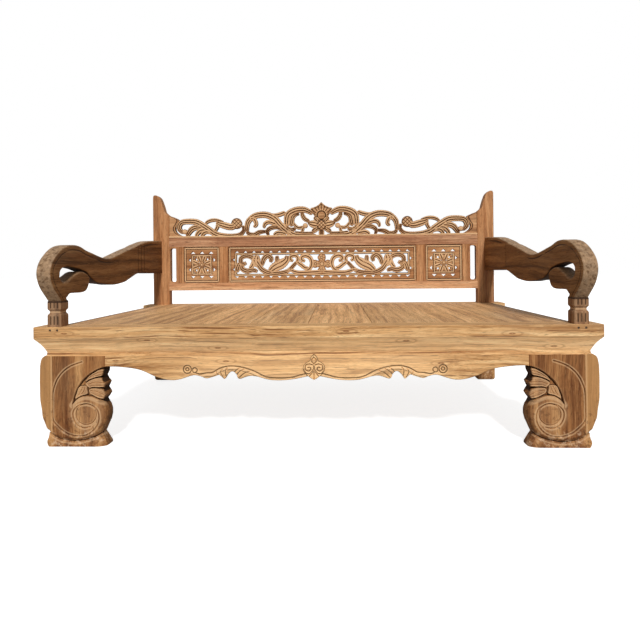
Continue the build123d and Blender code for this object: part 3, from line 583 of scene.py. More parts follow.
# ---------------------------------------------------------------- shared carving tools
def inside(places: Array, outline: Array) -> Array:
    """Whether each place lies in a closed outline, by counting the edges left of it.

    Args:
        places: Array of shape (n, 2).
        outline: Corners in order, shape (m, 2).

    Returns:
        Boolean array of shape (n,).
    """
    odd = np.zeros(len(places), dtype=bool)
    for start, end in zip(outline, np.roll(outline, -1, axis=0)):
        spans = (start[1] > places[:, 1]) != (end[1] > places[:, 1])
        rise = end[1] - start[1]
        crossing = start[0] + (places[:, 1] - start[1]) * (end[0] - start[0]) / (rise if rise else 1e-9)
        odd ^= spans & (places[:, 0] < crossing)
    return odd


def hollows(depth: Array, reach: int) -> Array:
    """How far each point of a carved face lies above (+) or below (-) its surroundings.

    The surroundings are the face averaged over the four neighbours again and again.

    Args:
        depth: Depth below the face, on a grid.
        reach: Number of averaging rounds.

    Returns:
        Array like depth, below 0 in grooves and above 0 on edges.
    """
    soft = np.pad(depth, 1, mode="edge")
    for _ in range(reach):
        inner = (soft[:-2, 1:-1] + soft[2:, 1:-1] + soft[1:-1, :-2] + soft[1:-1, 2:]) / 4
        soft = np.pad(inner, 1, mode="edge")
    return soft[1:-1, 1:-1] - depth


def groove(gap: Array, width: float, depth: float) -> Array:
    """Depth of a gouged line: deepest on it, smooth at both edges."""
    return depth * (1 - smooth_step(gap / (width / 2)))




# Places across a carved leaf, from edge to edge
LEAF_ACROSS = np.linspace(-1, 1, 121)
# Across, depth and painted shade of the four points that close a carved ring behind its front: its sides are
# painted dark as shade
BACK_SIDES = np.array([1.0, 1.0, -1.0, -1.0])
BACK_STEPS = np.array([-1.0, 0.0, 0.0, -1.0])
BACK_SHADE = np.array([-1.1, -0.1, -0.1, -1.1])


@dataclass(frozen=True)
class Carving:
    """How flat openwork is carved: between a front and a back plane, in millimetres of Y."""

    front: float
    back: float
    crown: float = 7.0
    vein: float = 4.0
    vein_width: float = 3.0
    broad: float = 27.0
    spread: float = 1.0
    scallop: float = 0.0
    scallop_pitch: float = 13.0
    undercut: float = 0.9
    ring_step: float = 2.2
    hatch_spacing: float = 22.0

    def stem(
        self,
        piece: SurfaceSet,
        route: Points,
        widths: Sequence[float],
        ends: tuple[float, float] = (1.0, 1.0),
        veins: Sequence[float] | None = None,
    ) -> None:
        """Add a leafy stem: a crowned strip along a curve, with gouged veins and rounded ends.

        Each ring stands square to the route.  Its width runs smoothly from the start by the
        middle to the end, and shrinks along a quarter circle at both ends.

        Args:
            piece: Surfaces that the stem joins.
            route: Places on the front plane.
            widths: Width at the start, middle and end.
            ends: Length of each end's rounding over the width there; more is more pointed.
            veins: Gouged lines, from -1 to 1 across the stem; by its width when not given.
        """
        length = float(np.linalg.norm(np.diff(np.asarray(route, float), axis=0), axis=1).sum())
        count = int(np.clip(length / self.ring_step, 14, 170))
        line = curve_through(route, count)
        slope = np.gradient(line, axis=0)
        slope /= np.maximum(np.linalg.norm(slope, axis=1, keepdims=True), 1e-9)
        normal = np.stack([-slope[:, 1], slope[:, 0]], axis=1)
        share = np.linspace(0, 1, count)
        start, middle, end = (width * self.spread for width in widths)
        if veins is None:
            veins = (-0.36, 0.36) if middle > self.broad else (0.05,)
        width = start * (1 - share) + end * share + (2 * middle - start - end) * 2 * share * (1 - share)
        ripple = np.abs(np.sin(share * length / self.scallop_pitch * math.pi)) - 0.5
        first = np.clip(share * length / max(start / 2 * ends[0], 1e-6), 0, 1)
        last = np.clip((1 - share) * length / max(end / 2 * ends[1], 1e-6), 0, 1)
        taper = (1 - quarter_round(first)) * (1 - quarter_round(last))
        half = (width * (1 + self.scallop * ripple) / 2 * taper)[:, None] + 0.15
        across = np.linspace(-1, 1, 25)
        fullness = np.minimum(1, half / (max(middle, 1) / 2))
        depth = self.crown * (fullness * (1 - np.sqrt(1 - 0.97 * across**2)) + 1 - fullness)
        # Painted highlight on the crown; painted shade towards the edges; dirt and painted shade in the veins
        wear = 1.25 - 2.2 * across**8 + np.zeros_like(depth)
        fade = (smooth_step(first) * smooth_step(last))[:, None]
        for vein in veins:
            cut = bell((across - vein) * half, self.vein_width) * fade
            depth = depth + self.vein * cut
            wear = wear - 3.1 * cut
        front = line[:, None] + normal[:, None] * (half * across)[..., None]
        back = line[:, None] + normal[:, None] * (half * self.undercut * BACK_SIDES)[..., None]
        piece.add_strips(
            (xyz(front[..., 0], self.front + depth, front[..., 1]), wear),
            (xyz(back[..., 0], self.back + BACK_STEPS, back[..., 1]), BACK_SHADE),
        )

    def rosette(
        self,
        piece: SurfaceSet,
        centre: tuple[float, float],
        radius: float,
        petals: int = 0,
        notch: float = 0.12,
        bud: float = 0.3,
        height: float = 5.0,
        hatch: float = 0.0,
    ) -> None:
        """Add a flower or a bud: circles from its back edge over its front to the middle.

        The outline dips between the petals by the notch, the petals are hollowed, and the bud
        in the middle is a small dome.  A bud alone may be cut with a diamond lattice.

        Args:
            piece: Surfaces that the flower joins.
            centre: Place on the front plane.
            radius: Radius over the petals.
            petals: Number of petals, or 0 for a plain dome.
            notch: Depth of the dips between petals over the radius.
            bud: Radius of the bud over the radius.
            height: Rise of the dome from the rim.
            hatch: Depth of the lattice.
        """
        angle = np.linspace(0, 2 * math.pi, 96, endpoint=False)[None]
        share = np.linspace(1, 0.02, 34)[:, None]
        lobes = np.abs(np.sin(petals * angle / 2)) if petals else np.ones_like(angle)
        depth = height * (1 - np.sqrt(1 - share**2 * 0.96)) + np.zeros_like(angle)
        # Painted highlight over the dome, painted shade at its rim; dirt and painted shade in the seams, moat
        # and hollows
        wear = 0.8 - 1.9 * share**8 + np.zeros_like(angle)
        if petals:
            beyond = smooth_step((share - bud) / 0.06)
            hollow = beyond * 1.6 * bell(share - 0.72, 0.16) * lobes**2
            seam = beyond * 2.6 * (1 - np.clip(lobes / 0.42, 0, 1)) * smooth_step((share - bud) / 0.2)
            moat = 3.2 * bell(share - bud - 0.04, 0.055)
            depth = depth + hollow + seam + moat
            wear = wear - 0.75 * seam - 0.6 * moat - 0.25 * hollow
        radial = radius * (1 - notch * (1 - lobes**0.5)) * share
        x, z = radial * np.cos(angle), radial * np.sin(angle)
        if hatch:
            lines = [np.abs(np.mod(slant / self.hatch_spacing, 1) - 0.5) for slant in (x + z, x - z)]
            lattice = (1 - np.clip(np.minimum(*lines) / 0.2, 0, 1)) * smooth_step((1 - share) / 0.12)
            depth = depth + hatch * lattice
            # Dirt and painted shade in the lattice's lines
            wear = wear - 2.2 * lattice
        rear_x, rear_z = centre[0] + x[:1] * self.undercut, centre[1] + z[:1] * self.undercut
        rings = [
            xyz(rear_x, self.back, rear_z),
            xyz(rear_x, self.back - 1, rear_z),
            xyz(centre[0] + x, self.front + depth, centre[1] + z),
        ]
        rims = np.repeat(BACK_SHADE[[1, 0], None], angle.shape[1], axis=1)
        piece.add_rings(np.concatenate(rings), np.concatenate([rims, wear]))

    def line(
        self, piece: SurfaceSet, start: tuple[float, float], end: tuple[float, float], width: float
    ) -> None:
        """Add a straight bead between two dark quirks: thin strips painted dark as the quirks' shade, beside
        a bead painted light.

        Args:
            piece: Surfaces that the bead joins.
            start: One end on the front plane.
            end: Other end.
            width: Width of the bead; each quirk is a little more than half as wide.
        """
        ends = np.linspace(start, end, 12)
        run = (ends[-1] - ends[0]) / np.linalg.norm(ends[-1] - ends[0])
        normal = np.array([-run[1], run[0]])
        # Reach, rise and painted tone: quirks painted dark as shade, the bead painted light
        quirk = (width / 3.4, 0.4, -1.7)
        for offset, (reach, rise, wear) in (
            (0.0, (width / 2, 1.2, 0.9)), (0.75 * width, quirk), (-0.75 * width, quirk)
        ):
            low, high = (ends + normal * (offset + shift * reach) for shift in (-1, 1))
            rings = ruled_bar(low, high, self.back - rise, self.back + 1, 0.3, 2)
            piece.add_rings(as_upright(rings), np.full(rings.shape[:2], wear))


def dress(frame: dict[str, Any], node: str, wood: TeakFinish) -> None:
    """Give a plain CAD node its finish.

    Args:
        node: Name of the node.
        wood: Finish put in each of its material slots.
    """
    for holder in frame["nodes"][node].material_slots:
        holder.material = wood.material()
    LOG.info("%s: dressed with %s", node, wood.name)


# ---------------------------------------------------------------- finishes
def leg_marks(graph: Graph, place: Signal, tone: Signal) -> Signal:
    """Paint the outer cant of the legs a lighter honey tone, partly their own colour and partly painted
    light, and mottle their feet.

    Args:
        graph: The material's graph.
        place: Object coordinates.
        tone: Tone so far.

    Returns:
        The marked tone.
    """
    distance, height = graph.axis(place, "X").math("ABSOLUTE"), graph.axis(place, "Z")
    blotches = graph.noise(place, 55.0, 4.0, 0.65)
    pale = blotches.between(0.50, 0.66) * height.between(0.075, 0.04) * 0.7
    soiled = blotches.between(0.46, 0.34) * height.between(0.30, 0.03) * 0.6
    # Lighter honey tone on the outer cant: partly the wood's own colour, partly painted light
    tone = graph.blend(distance.between(0.988, 0.998) * 0.5, tone, (0.60, 0.32, 0.12))
    tone = graph.blend(pale, tone, (0.70, 0.48, 0.30))
    return graph.blend(soiled, tone, (0.08, 0.03, 0.012))


def arm_marks(graph: Graph, place: Signal, tone: Signal) -> Signal:
    """Mottle the arms' faces that show rubbing and painted light.

    Args:
        graph: The material's graph.
        place: Object coordinates.
        tone: Tone so far.

    Returns:
        The marked tone.
    """
    # Faces where wear is high: rubbing and painted light on the outer curve
    rubbed_and_lit = graph.wear().between(0.15, 0.6)
    mottles = graph.noise(place, 70.0, 5.0, 0.72)
    tone = graph.blend(mottles.between(0.51, 0.36) * rubbed_and_lit * 0.75, tone, (0.10, 0.048, 0.02))
    return graph.blend(mottles.between(0.54, 0.68) * rubbed_and_lit * 0.6, tone, (0.66, 0.42, 0.27))


# Middles of the rail's and the apron's knots: distance from the middle and height, in metres
KNOTS = (
    (-0.93, 0.432), (-0.62, 0.405), (-0.36, 0.372), (-0.33, 0.322), (0.12, 0.436),
    (0.34, 0.398), (0.47, 0.312), (0.72, 0.425), (0.88, 0.374), (-0.75, 0.325),
)


def rail_marks(graph: Graph, place: Signal, tone: Signal) -> Signal:
    """Paint light onto the hollow moulding against its shade, lighten the apron's middle, and add eye-shaped
    knots.

    Args:
        graph: The material's graph.
        place: Object coordinates.
        tone: Tone so far.

    Returns:
        The marked tone.
    """
    across, height = graph.axis(place, "X"), graph.axis(place, "Z")
    hollow = height.between(0.352, 0.366) * height.between(0.418, 0.408)
    apron = height.between(0.349, 0.338) * across.math("ABSOLUTE").between(0.66, 0.34)
    paler = graph.blend(1.0, tone, (0.34, 0.24, 0.13), "ADD")
    # Painted light that lifts the shade of the hollow moulding
    tone = graph.blend(hollow * 0.85, tone, paler)
    tone = graph.blend(apron * 0.75, tone, paler)
    for knot_x, knot_z in KNOTS:
        wide, tall = (across - knot_x) * 30.0, (height - knot_z) * 115.0
        away = (wide * wide + tall * tall) ** 0.5
        ripples = (away * 7.0).math("SINE").between(0.1, 0.9) * away.between(1.7, 0.3)
        tone = graph.blend(ripples * 0.75, tone, (0.24, 0.085, 0.03))
    return tone


RAIL_WOOD = TeakFinish(
    "rail_wood", "rail_teak", (0.38, 0.175, 0.06), (0.70, 0.395, 0.165), (0.90, 0.61, 0.31), Grain.ALONG_X,
    seed=1.0, figure=0.7, streak=0.85, weathering=0.15, fineness=1.3, extra=rail_marks,
)
# Side rails painted dark as the shadow that the arms cast on them; the centre cross rail shares this finish
SHADED_SIDE_RAIL_WOOD = TeakFinish(
    "side_rail_shaded_wood", "rail_teak", (0.10, 0.048, 0.02), (0.26, 0.135, 0.06), (0.42, 0.25, 0.125),
    Grain.ALONG_Y, seed=2.3,
)
LEG_WOOD = TeakFinish(
    "leg_wood", "leg_teak", (0.14, 0.048, 0.015), (0.33, 0.14, 0.047), (0.55, 0.29, 0.115), Grain.ALONG_Z,
    seed=3.1, figure=0.6, weathering=0.3, weather_tone=(0.30, 0.19, 0.10), extra=leg_marks,
)
# Darker than the legs' wood: partly the arms' own dark colour, partly painted shade for their inner sides
ARM_WOOD = TeakFinish(
    "arm_wood", "arm_teak", (0.08, 0.032, 0.010), (0.235, 0.11, 0.038), (0.40, 0.21, 0.085), Grain.ALONG_Y,
    seed=4.7, figure=0.5, weathering=0.2, weather_tone=(0.34, 0.24, 0.15), rub_and_highlight_tone=(0.41, 0.28, 0.17),
    extra=arm_marks,
)
ARM_POST_WOOD = TeakFinish(
    "arm_post_wood", "arm_teak", (0.12, 0.052, 0.022), (0.31, 0.155, 0.07), (0.50, 0.30, 0.16), Grain.ALONG_Z,
    seed=5.2, figure=0.3,
)
BACK_WOOD = TeakFinish(
    "back_wood", "back_teak", (0.24, 0.095, 0.045), (0.47, 0.225, 0.115), (0.66, 0.38, 0.21), Grain.ALONG_X,
    seed=6.4, figure=0.6, weathering=0.2,
)
PALE_BACK_WOOD = replace(
    BACK_WOOD, name="pale_back_wood", seed=6.9,
    dark=(0.36, 0.155, 0.07), middle=(0.68, 0.35, 0.17), light=(0.82, 0.52, 0.29),
)
STILE_WOOD = TeakFinish(
    "stile_wood", "back_teak", (0.24, 0.09, 0.032), (0.47, 0.21, 0.083), (0.66, 0.35, 0.16), Grain.ALONG_Z,
    seed=7.9, figure=0.6, weathering=0.15,
)
# Its pale rub_and_highlight_tone paints highlights and rubbing on the carving's crowns
CARVED_WOOD = TeakFinish(
    "carved_wood", "carved_teak", (0.24, 0.09, 0.032), (0.47, 0.22, 0.09), (0.66, 0.38, 0.18), Grain.ALONG_X,
    seed=8.8, figure=0.2, weathering=0.15, relief=0.35, rub_and_highlight_tone=(0.84, 0.58, 0.33),
)
PEG_WOOD = TeakFinish(
    "peg_wood", "peg_wood", (0.03, 0.015, 0.007), (0.06, 0.03, 0.015), (0.10, 0.055, 0.03), Grain.ALONG_Y,
    seed=9.5, figure=0.1,
)


# ---------------------------------------------------------------- the daybed's pieces
@dataclass
class Base:
    """Rails, bearers, deck boards and rear legs, which stay as the frame gives them."""

    shades: tuple[Colour, Colour, Colour] = ((0.38, 0.19, 0.078), (0.69, 0.39, 0.17), (0.90, 0.57, 0.28))
    board_tones: tuple[float, ...] = (1.0, 0.9, 1.08, 0.95, 1.1, 0.92, 1.04, 0.97)

    def board_wood(self, number: int, tone: float) -> TeakFinish:
        """Finish of one board, a little lighter or darker than its neighbours.

        Args:
            number: Place of the board, from 1 at the left.
            tone: Brightness of the board over the mean.

        Returns:
            The finish.
        """
        shades = [tuple(part * tone for part in shade) for shade in self.shades]
        return TeakFinish(
            f"deck_wood_{number}", "deck_teak", *shades, Grain.ALONG_Y,
            seed=11.0 + 3.7 * number, figure=0.45, weathering=0.3,
        )

    def build(self, frame: dict[str, Any]) -> None:
        """Dress the nodes.
        """
        for wood, nodes in (
            (RAIL_WOOD, ("front_rail", "back_rail")),
            (SHADED_SIDE_RAIL_WOOD, ("side_rail_left", "side_rail_right", "centre_cross_rail")),
            (RAIL_WOOD, ("bearer_front", "bearer_rear")),
            (LEG_WOOD, ("rear_leg_left", "rear_leg_right")),
        ):
            for node in nodes:
                dress(frame, node, wood)
        for number, tone in enumerate(self.board_tones, start=1):
            dress(frame, f"deck_board_{number}", self.board_wood(number, tone))
        dress(frame, "arm_post_pegs", PEG_WOOD)


@dataclass
class FrontLeg:
    """Broad front leg: one board carved as a ball, three lobes and a volute over a flat foot.

    Places on its face are (distance inwards from its widest point, height), in millimetres.
    """

    side: Side
    wood: TeakFinish = LEG_WOOD
    widest: float = 1056.0
    face: float = -520.0
    thickness: float = 66.0
    height: float = 343.0
    cant_width: float = 59.0
    cant_depth: float = 26.0
    arris_strip: float = 4.0
    field_depth: float = 13.0
    lobe_rise: float = 10.5
    rows: int = 330
    columns: int = 250
    outer_side: Points = (
        (30, 343), (12, 331), (4, 309), (1, 285), (0, 230), (1.5, 175), (9, 137), (14, 108), (23, 92),
        (35, 70), (43, 56), (44, 35), (39, 19), (42, 6), (48, 0),
    )
    inner_side: Points = (
        (266, 0), (266, 8), (259, 20), (250, 34), (242, 46), (247, 56), (255, 75), (263, 92), (268, 113),
        (268, 132), (263, 150), (258, 158), (250, 172), (259, 184), (266, 196), (260, 207), (254, 216),
        (260, 228), (264, 238), (255, 248), (248, 262), (255.5, 276), (258, 288), (251, 301), (266, 301.5),
        (266, 343),
    )
    crease: Points = ((43, 52), (66, 37), (94, 25), (141, 19), (179, 23), (217, 33), (245, 47), (270, 60))
    step_line: Points = (
        (283, 305), (250, 300), (213, 282), (179, 254), (156, 219), (144, 187), (139, 159), (143, 136),
    )
    lip_top: Points = ((141, 159), (156, 176), (175, 187), (198, 190), (217, 187), (240, 176), (275, 158))
    lip_low: Points = ((143, 143), (155, 162), (174, 171), (198, 176), (222, 169), (245, 157), (275, 138))
    lobes: tuple[Points, ...] = (
        ((185, 243), (199, 264), (223, 281), (246, 292), (268, 291), (268, 280), (251, 266), (227, 261),
         (203, 252)),
        ((189, 238), (208, 252), (237, 260), (262, 254), (276, 240), (270, 227), (246, 224), (217, 224),
         (203, 222)),
        ((203, 217), (222, 221), (246, 217), (268, 206), (276, 192), (268, 180), (240, 183), (217, 194),
         (205, 203)),
        ((149, 180), (156, 208), (165, 227), (180, 231), (194, 229), (196, 217), (198, 199), (175, 192)),
    )
    veins: tuple[Points, ...] = (
        ((192, 250), (214, 268), (236, 279), (258, 284)), ((206, 259), (230, 268), (256, 274)),
        ((200, 236), (226, 244), (260, 242)), ((208, 229), (232, 232), (262, 232)),
        ((210, 212), (236, 208), (266, 194)), ((212, 203), (236, 194), (262, 186)),
        ((163, 196), (172, 210), (180, 226)), ((176, 200), (184, 212), (188, 226)),
    )
    notches: tuple[Points, ...] = (
        ((214, 257), (240, 262), (268, 262)), ((212, 221), (240, 220), (274, 214)),
        ((212, 193), (240, 180), (274, 166)),
    )
    volute: Points = (
        (178, 321), (165, 317), (134, 305), (106, 285), (84, 257), (72, 229), (66, 206), (64, 170),
        (64, 136), (66, 102), (90, 74), (118, 53), (155, 42), (188, 44), (217, 60), (236, 84), (242, 111),
        (236, 139), (218, 155), (194, 162), (168, 158), (149, 144), (142, 125), (147, 102), (160, 83),
        (184, 73), (208, 77),
    )
    boss: tuple[float, float] = (193.0, 124.0)
    boss_radius: float = 36.0

    def carving(self, inwards: Array, height: Array) -> tuple[Array, Array]:
        """Depth of the carved pattern alone, as if the board were flat.

        Args:
            inwards: Distance in from the widest point, on a grid.
            height: Height above the floor, on the same grid.

        Returns:
            Depth in millimetres, and painted light on the lobes, the lip, the ball and the arris.
        """
        places = as_places(inwards, height)
        low_down = places[:, 1]
        step, lip = curve_through(self.step_line, 60), curve_through(self.lip_top, 50)
        within = inside(places, np.vstack([step, lip, [(330, 171), (330, 305)]]))
        outside = ~within
        gap, _ = distance_to_line(places, np.vstack([step, lip]))
        sunk = within * self.field_depth * smooth_step(gap / 4)
        rims = np.zeros(len(places))
        for lobe in self.lobes:
            edge = curve_through(lobe, 80, closed=True)
            rim, _ = distance_to_line(places, np.vstack([edge, edge[:1]]))
            risen = rim * inside(places, edge)
            raised = self.field_depth - self.lobe_rise * smooth_step(risen / 2.5)
            raised = raised + groove(np.abs(risen - 7), 4, 1.4)
            sunk = np.where(within & (risen > 0), np.minimum(sunk, raised), sunk)
            rims = np.maximum(rims, within * (bell(risen - 3.8, 2.4) + 0.35 * smooth_step(risen / 4)))
        for vein in self.veins:
            sunk = sunk + groove(gap_to(places, vein, 40), 4.5, 2.2)
        for notch in self.notches:
            gap, share = distance_to_line(places, curve_through(notch, 40))
            sunk = sunk + within * (2 + 26 * share) * (1 - smooth_step(gap / (2 + 6 * share)))
        spiral = gap_to(places, self.volute, 300)
        from_boss = np.hypot(*(places - np.array(self.boss)).T)
        boss = groove(np.abs(from_boss - self.boss_radius - 3), 6, 3.5)
        boss = boss + 1.5 * smooth_step((self.boss_radius + 2 - from_boss) / 4)
        sunk = sunk + outside * (groove(spiral, 7, 3.4) + boss)
        from_arris = places[:, 0] - self.cant_width
        sunk = sunk + groove(np.abs(from_arris - 7), 5, 2) * (low_down > 62)
        # Painted light on the lobes, the lip, the boss's foot, the volute's bank, the arris and the ball
        low, top = gap_to(places, self.lip_low, 50), gap_to(places, self.lip_top, 50)
        lip_band = outside * (top < 15) * (low_down > 136) * smooth_step(low / 4) * (1 - top / 15)
        below = (self.boss[1] - low_down) / np.maximum(from_boss, 1)
        crescent = smooth_step(1 - np.abs(from_boss - 46) / 7) * smooth_step((below - 0.2) / 0.5)
        strip = smooth_step(1.3 - np.abs(from_arris - 1) / self.arris_strip) * (low_down > 50)
        bank, ball = outside * bell(spiral - 5.5, 2.2), outside * smooth_step((78 - from_boss) / 14)
        rubbed_and_lit = 1.6 * lip_band + 1.2 * crescent + 1.1 * strip + 0.7 * bank + 1.4 * rims + 0.3 * ball
        return sunk.reshape(inwards.shape), rubbed_and_lit.reshape(inwards.shape)

    def above_crease(self, inwards: Array, height: Array) -> tuple[Array, Array]:
        """Height over the crease above the foot, and the crease's own height."""
        crease = np.interp(inwards, *curve_through(self.crease, 80).T)
        return height - crease, crease

    def shape(self, inwards: Array, height: Array, inner_edge: Array) -> Array:
        """Depth of the board's own form: cant, foot, ankle and rounded inner flank.

        Args:
            inwards: Distance in from the widest point, on a grid.
            height: Height above the floor, on the same grid.
            inner_edge: Distance in of the leg's inner side, per row.

        Returns:
            Depth in millimetres on the grid.
        """
        cant = self.cant_depth * np.clip(1 - inwards / self.cant_width, 0, 1)
        above, crease = self.above_crease(inwards, height)
        foot = 4 + 10 * np.clip(height / np.maximum(crease, 1), 0, 1) ** 2.2
        ankle = 12 * (1 - smooth_step(above / 18)) + 5 * groove(np.abs(above), 6, 1)
        depth = np.where(above < 0, np.maximum(foot, cant * 0.8), cant + ankle)
        ball = np.clip((height - 30) / 25, 0, 1) * np.clip((176 - height) / 12, 0, 1)
        toe = np.clip((46 - height) / 14, 0, 1) * 0.5
        for share, radius in ((ball, 29), (toe, 45)):
            depth = depth + share * radius * quarter_round((inner_edge - inwards) / radius)
        return depth

    def build(self) -> None:
        """Stack level rings from the floor to the rail: face, inner side, back and outer side."""
        heights = np.linspace(0, self.height, self.rows)[:, None]
        outer_edge = width_at(curve_through(self.outer_side, 600), heights)
        inner_edge = width_at(np.asarray(self.inner_side, float), heights)
        inwards = outer_edge + (inner_edge - outer_edge) * np.linspace(0, 1, self.columns)
        height = np.broadcast_to(heights, inwards.shape)
        carved, rubbed_and_lit = self.carving(inwards, height)
        above, _ = self.above_crease(inwards, height)
        # Dirt and painted shade in the carving's hollows, painted highlights on its edges, and the painted
        # light of the lobes, lip, ball and arris
        wear = np.clip(hollows(carved, 9) / 2.0, -1.7, 0.4) + rubbed_and_lit
        # Painted shadow along the crease under the leg's body
        wear = wear - 1.6 * (1 - smooth_step(np.abs(above - 2) / 4))
        # Painted highlight on the foot's top edge below the crease
        wear = wear + 0.8 * smooth_step(1 - np.abs(above + 8) / 6)
        depth = carved + self.shape(inwards, height, inner_edge)
        depth = depth + 0.5 * unevenness(xyz(inwards, height, depth), 60.0, 5)
        depth = np.clip(depth, 0, self.thickness - 14) + 3 * quarter_round((inner_edge - inwards) / 3)
        steps = np.linspace(0, 1, 8)[1:]
        brink = self.thickness - 4
        inner_depth = depth[:, -1:] + (brink - depth[:, -1:]) * steps
        outer_depth = brink + (depth[:, :1] + 3 - brink) * steps * 0.98
        back = (inner_edge - 4) + (outer_edge + 8 - inner_edge) * np.linspace(0, 1, 12)
        lobed = smooth_step((heights - 158) / 10) * smooth_step((306 - heights) / 10)
        notched = smooth_step((263 - inner_edge) / 7)
        # Inner side painted dark as shade, with painted light on the lobes' tips near the face, darker in the
        # notches and further back
        inner_wall_shading = -0.35 + lobed * (0.75 - 2.3 * notched) - 0.5 * lobed * steps
        walls = (
            (inwards, depth, wear), (inner_edge, inner_depth, inner_wall_shading), (back, self.thickness, 0.0),
            (outer_edge, outer_depth, 0.0),
        )
        piece = SurfaceSet(f"front_leg_carved_{self.side.tag}")
        piece.add_strips(*(
            (xyz(self.side.value * (self.widest - place), self.face + sunk, heights), worn_and_shaded)
            for place, sunk, worn_and_shaded in walls
        ))
        made = piece.build(self.wood, sharp_angle=60)
        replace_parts(made, f"front_leg_{self.side.tag}")


@dataclass
class Apron:
    """Apron under the front rail, with a scalloped edge, gouged scrolls and a leaf ornament.

    Places on its face are (distance from the middle, height), in millimetres.
    """

    wood: TeakFinish = RAIL_WOOD
    face: float = -516.0
    thickness: float = 26.0
    top: float = 343.0
    half_length: float = 790.0
    columns: int = 1300
    rows: int = 56
    band: float = 13.0
    scroll: Points = (
        (447, 279), (432, 273), (405, 277), (382, 279), (355, 294), (325, 302), (295, 302),
        (261, 296), (223, 283), (185, 264), (148, 258), (91, 259), (54, 268), (30, 274),
    )
    lower_edge: Points = (
        (0, 264), (26, 263), (72, 254), (118, 249), (167, 251), (234, 266), (280, 255), (293, 273),
        (308, 283), (325, 270), (337, 255), (356, 269), (375, 264), (405, 257), (432, 266), (458, 268),
        (508, 253), (546, 251), (596, 263), (661, 290), (738, 301), (790, 302),
    )
    flutes: tuple[Points, ...] = (
        ((262, 292), (278, 284), (292, 270)), ((240, 284), (262, 276), (281, 260)),
        ((278, 296), (292, 288), (301, 277)), ((326, 296), (333, 286), (331, 268)),
        ((345, 292), (351, 280), (342, 260)), ((368, 284), (366, 276), (356, 268)),
    )
    curls: tuple[tuple[float, float, float], ...] = ((477, 291, 15), (477, 291, 6), (449, 288, 9))
    ornament: Points = (
        (0.5, 348), (7, 343), (13, 334), (17, 324), (27, 318), (37, 310), (41, 299), (38, 288), (31, 281),
        (28, 273), (20, 265), (10, 258), (0.5, 253),
    )
    ornament_face: float = -529.0
    ornament_lines: tuple[Points, ...] = (
        ((0, 338), (7, 330), (8, 321), (0, 313)),
        ((5, 309), (18, 312), (31, 306), (31, 292), (20, 286), (12, 292), (15, 300), (22, 299)),
        ((0, 304), (3, 290), (14, 278), (27, 276)), ((0, 292), (8, 278), (16, 268)), ((0, 286), (0, 258)),
    )

    def board_relief(self, x: Array, z: Array, edge: Array) -> tuple[Array, Array, Array]:
        """Depth of the carving behind the apron's face.

        A gouged line sweeps between the curls, with a finer one beside it.

        Args:
            x: Distance from the middle, on a grid.
            z: Height, on the same grid.
            edge: The scalloped edge as a line.

        Returns:
            Depth in millimetres on the grid, the distance from the edge, and painted light and shade.
        """
        places = as_places(np.abs(x), z)
        from_edge, _ = distance_to_line(places, edge)
        from_scroll = gap_to(places, self.scroll, 150)
        line_height = np.interp(places[:, 0], *np.array(self.scroll[::-1]).T)
        under = (places[:, 0] < self.scroll[0][0]) & (places[:, 1] < line_height)
        depth = groove(from_scroll, 8, 6) + under * groove(np.abs(from_scroll - self.band), 5, 2.5)
        for flute in self.flutes:
            depth = np.maximum(depth, groove(gap_to(places, flute, 30), 6, 4.5))
        for across, height, radius in self.curls:
            ring = np.abs(np.hypot(places[:, 0] - across, places[:, 1] - height) - radius)
            depth = np.maximum(depth, groove(ring, 7, 5))
        # Painted highlight along the bank under the gouged line; painted shade on the field below the finer
        # line, from 225 mm out
        shaded = under * (places[:, 0] > 225) * (from_scroll > self.band)
        wear = 1.5 * under * bell(from_scroll - 7, 3) - 0.45 * shaded
        return depth.reshape(x.shape), from_edge.reshape(x.shape), wear.reshape(x.shape)

    def board(self) -> SurfaceSet:
        """Upright rings from the left end to the right, each round the board's section."""
        fine = curve_through(self.lower_edge, 700)
        x = np.linspace(-self.half_length, self.half_length, self.columns)[:, None]
        low = np.interp(np.abs(x), *fine.T)
        z = self.top + (low - self.top) * np.linspace(0, 1, self.rows)
        across = np.broadcast_to(x, z.shape)
        depth, from_edge, extra = self.board_relief(across, z, fine[::5])
        # Dirt and painted shade in the carving's hollows, painted highlights on its edges, plus the relief's
        # painted light and shade
        cavity = np.clip(hollows(depth, 10) / 1.1, -1.8, 0.5) + extra
        depth = depth + 4 * quarter_round(from_edge / 4)
        depth = depth + 0.3 * unevenness(xyz(across, depth, z), 90.0, 8)
        rear = self.face + self.thickness - np.array([4.0, 0.0, 0.0])
        rear_z = np.concatenate([low, low + 4, np.full_like(low, self.top)], axis=1)
        piece = SurfaceSet("front_apron_carved")
        # The back's lower edge is painted dark as shade
        piece.add_strips(
            (xyz(across, self.face + depth, z), cavity), (xyz(x, rear, rear_z), np.array([-0.7, 0.0, 0.0]))
        )
        return piece

    def leaf(self) -> SurfaceSet:
        """Leaf ornament in the middle: level rings across its carved front and flat back."""
        heights = level_heights(self.ornament, 130)
        half = width_at(curve_through(self.ornament, 300), heights)
        x = half * LEAF_ACROSS
        places = as_places(np.abs(x), heights)
        depth = np.zeros(len(places))
        for line in self.ornament_lines:
            depth = np.maximum(depth, groove(gap_to(places, line, 40), 7.5, 6))
        depth = depth.reshape(x.shape)
        rim = np.clip((half - np.abs(x)) / 7, 0, 1)
        # Dirt and painted shade in the hollows, painted shade at the rim, painted highlights on the edges;
        # the back is painted dark as shade
        wear = np.clip(hollows(depth, 8) / 1.2, -1.8, 0.9) - 1.1 * (1 - smooth_step(rim * 1.6)) - 0.25
        depth = depth * smooth_step(rim * 2) + 7 * quarter_round(rim)
        back_x = half * np.array([0.98, -0.98])
        piece = SurfaceSet("apron_leaf")
        piece.add_strips(
            (xyz(x, self.ornament_face + depth, heights), wear), (xyz(back_x, self.face + 3, heights), -0.8)
        )
        return piece

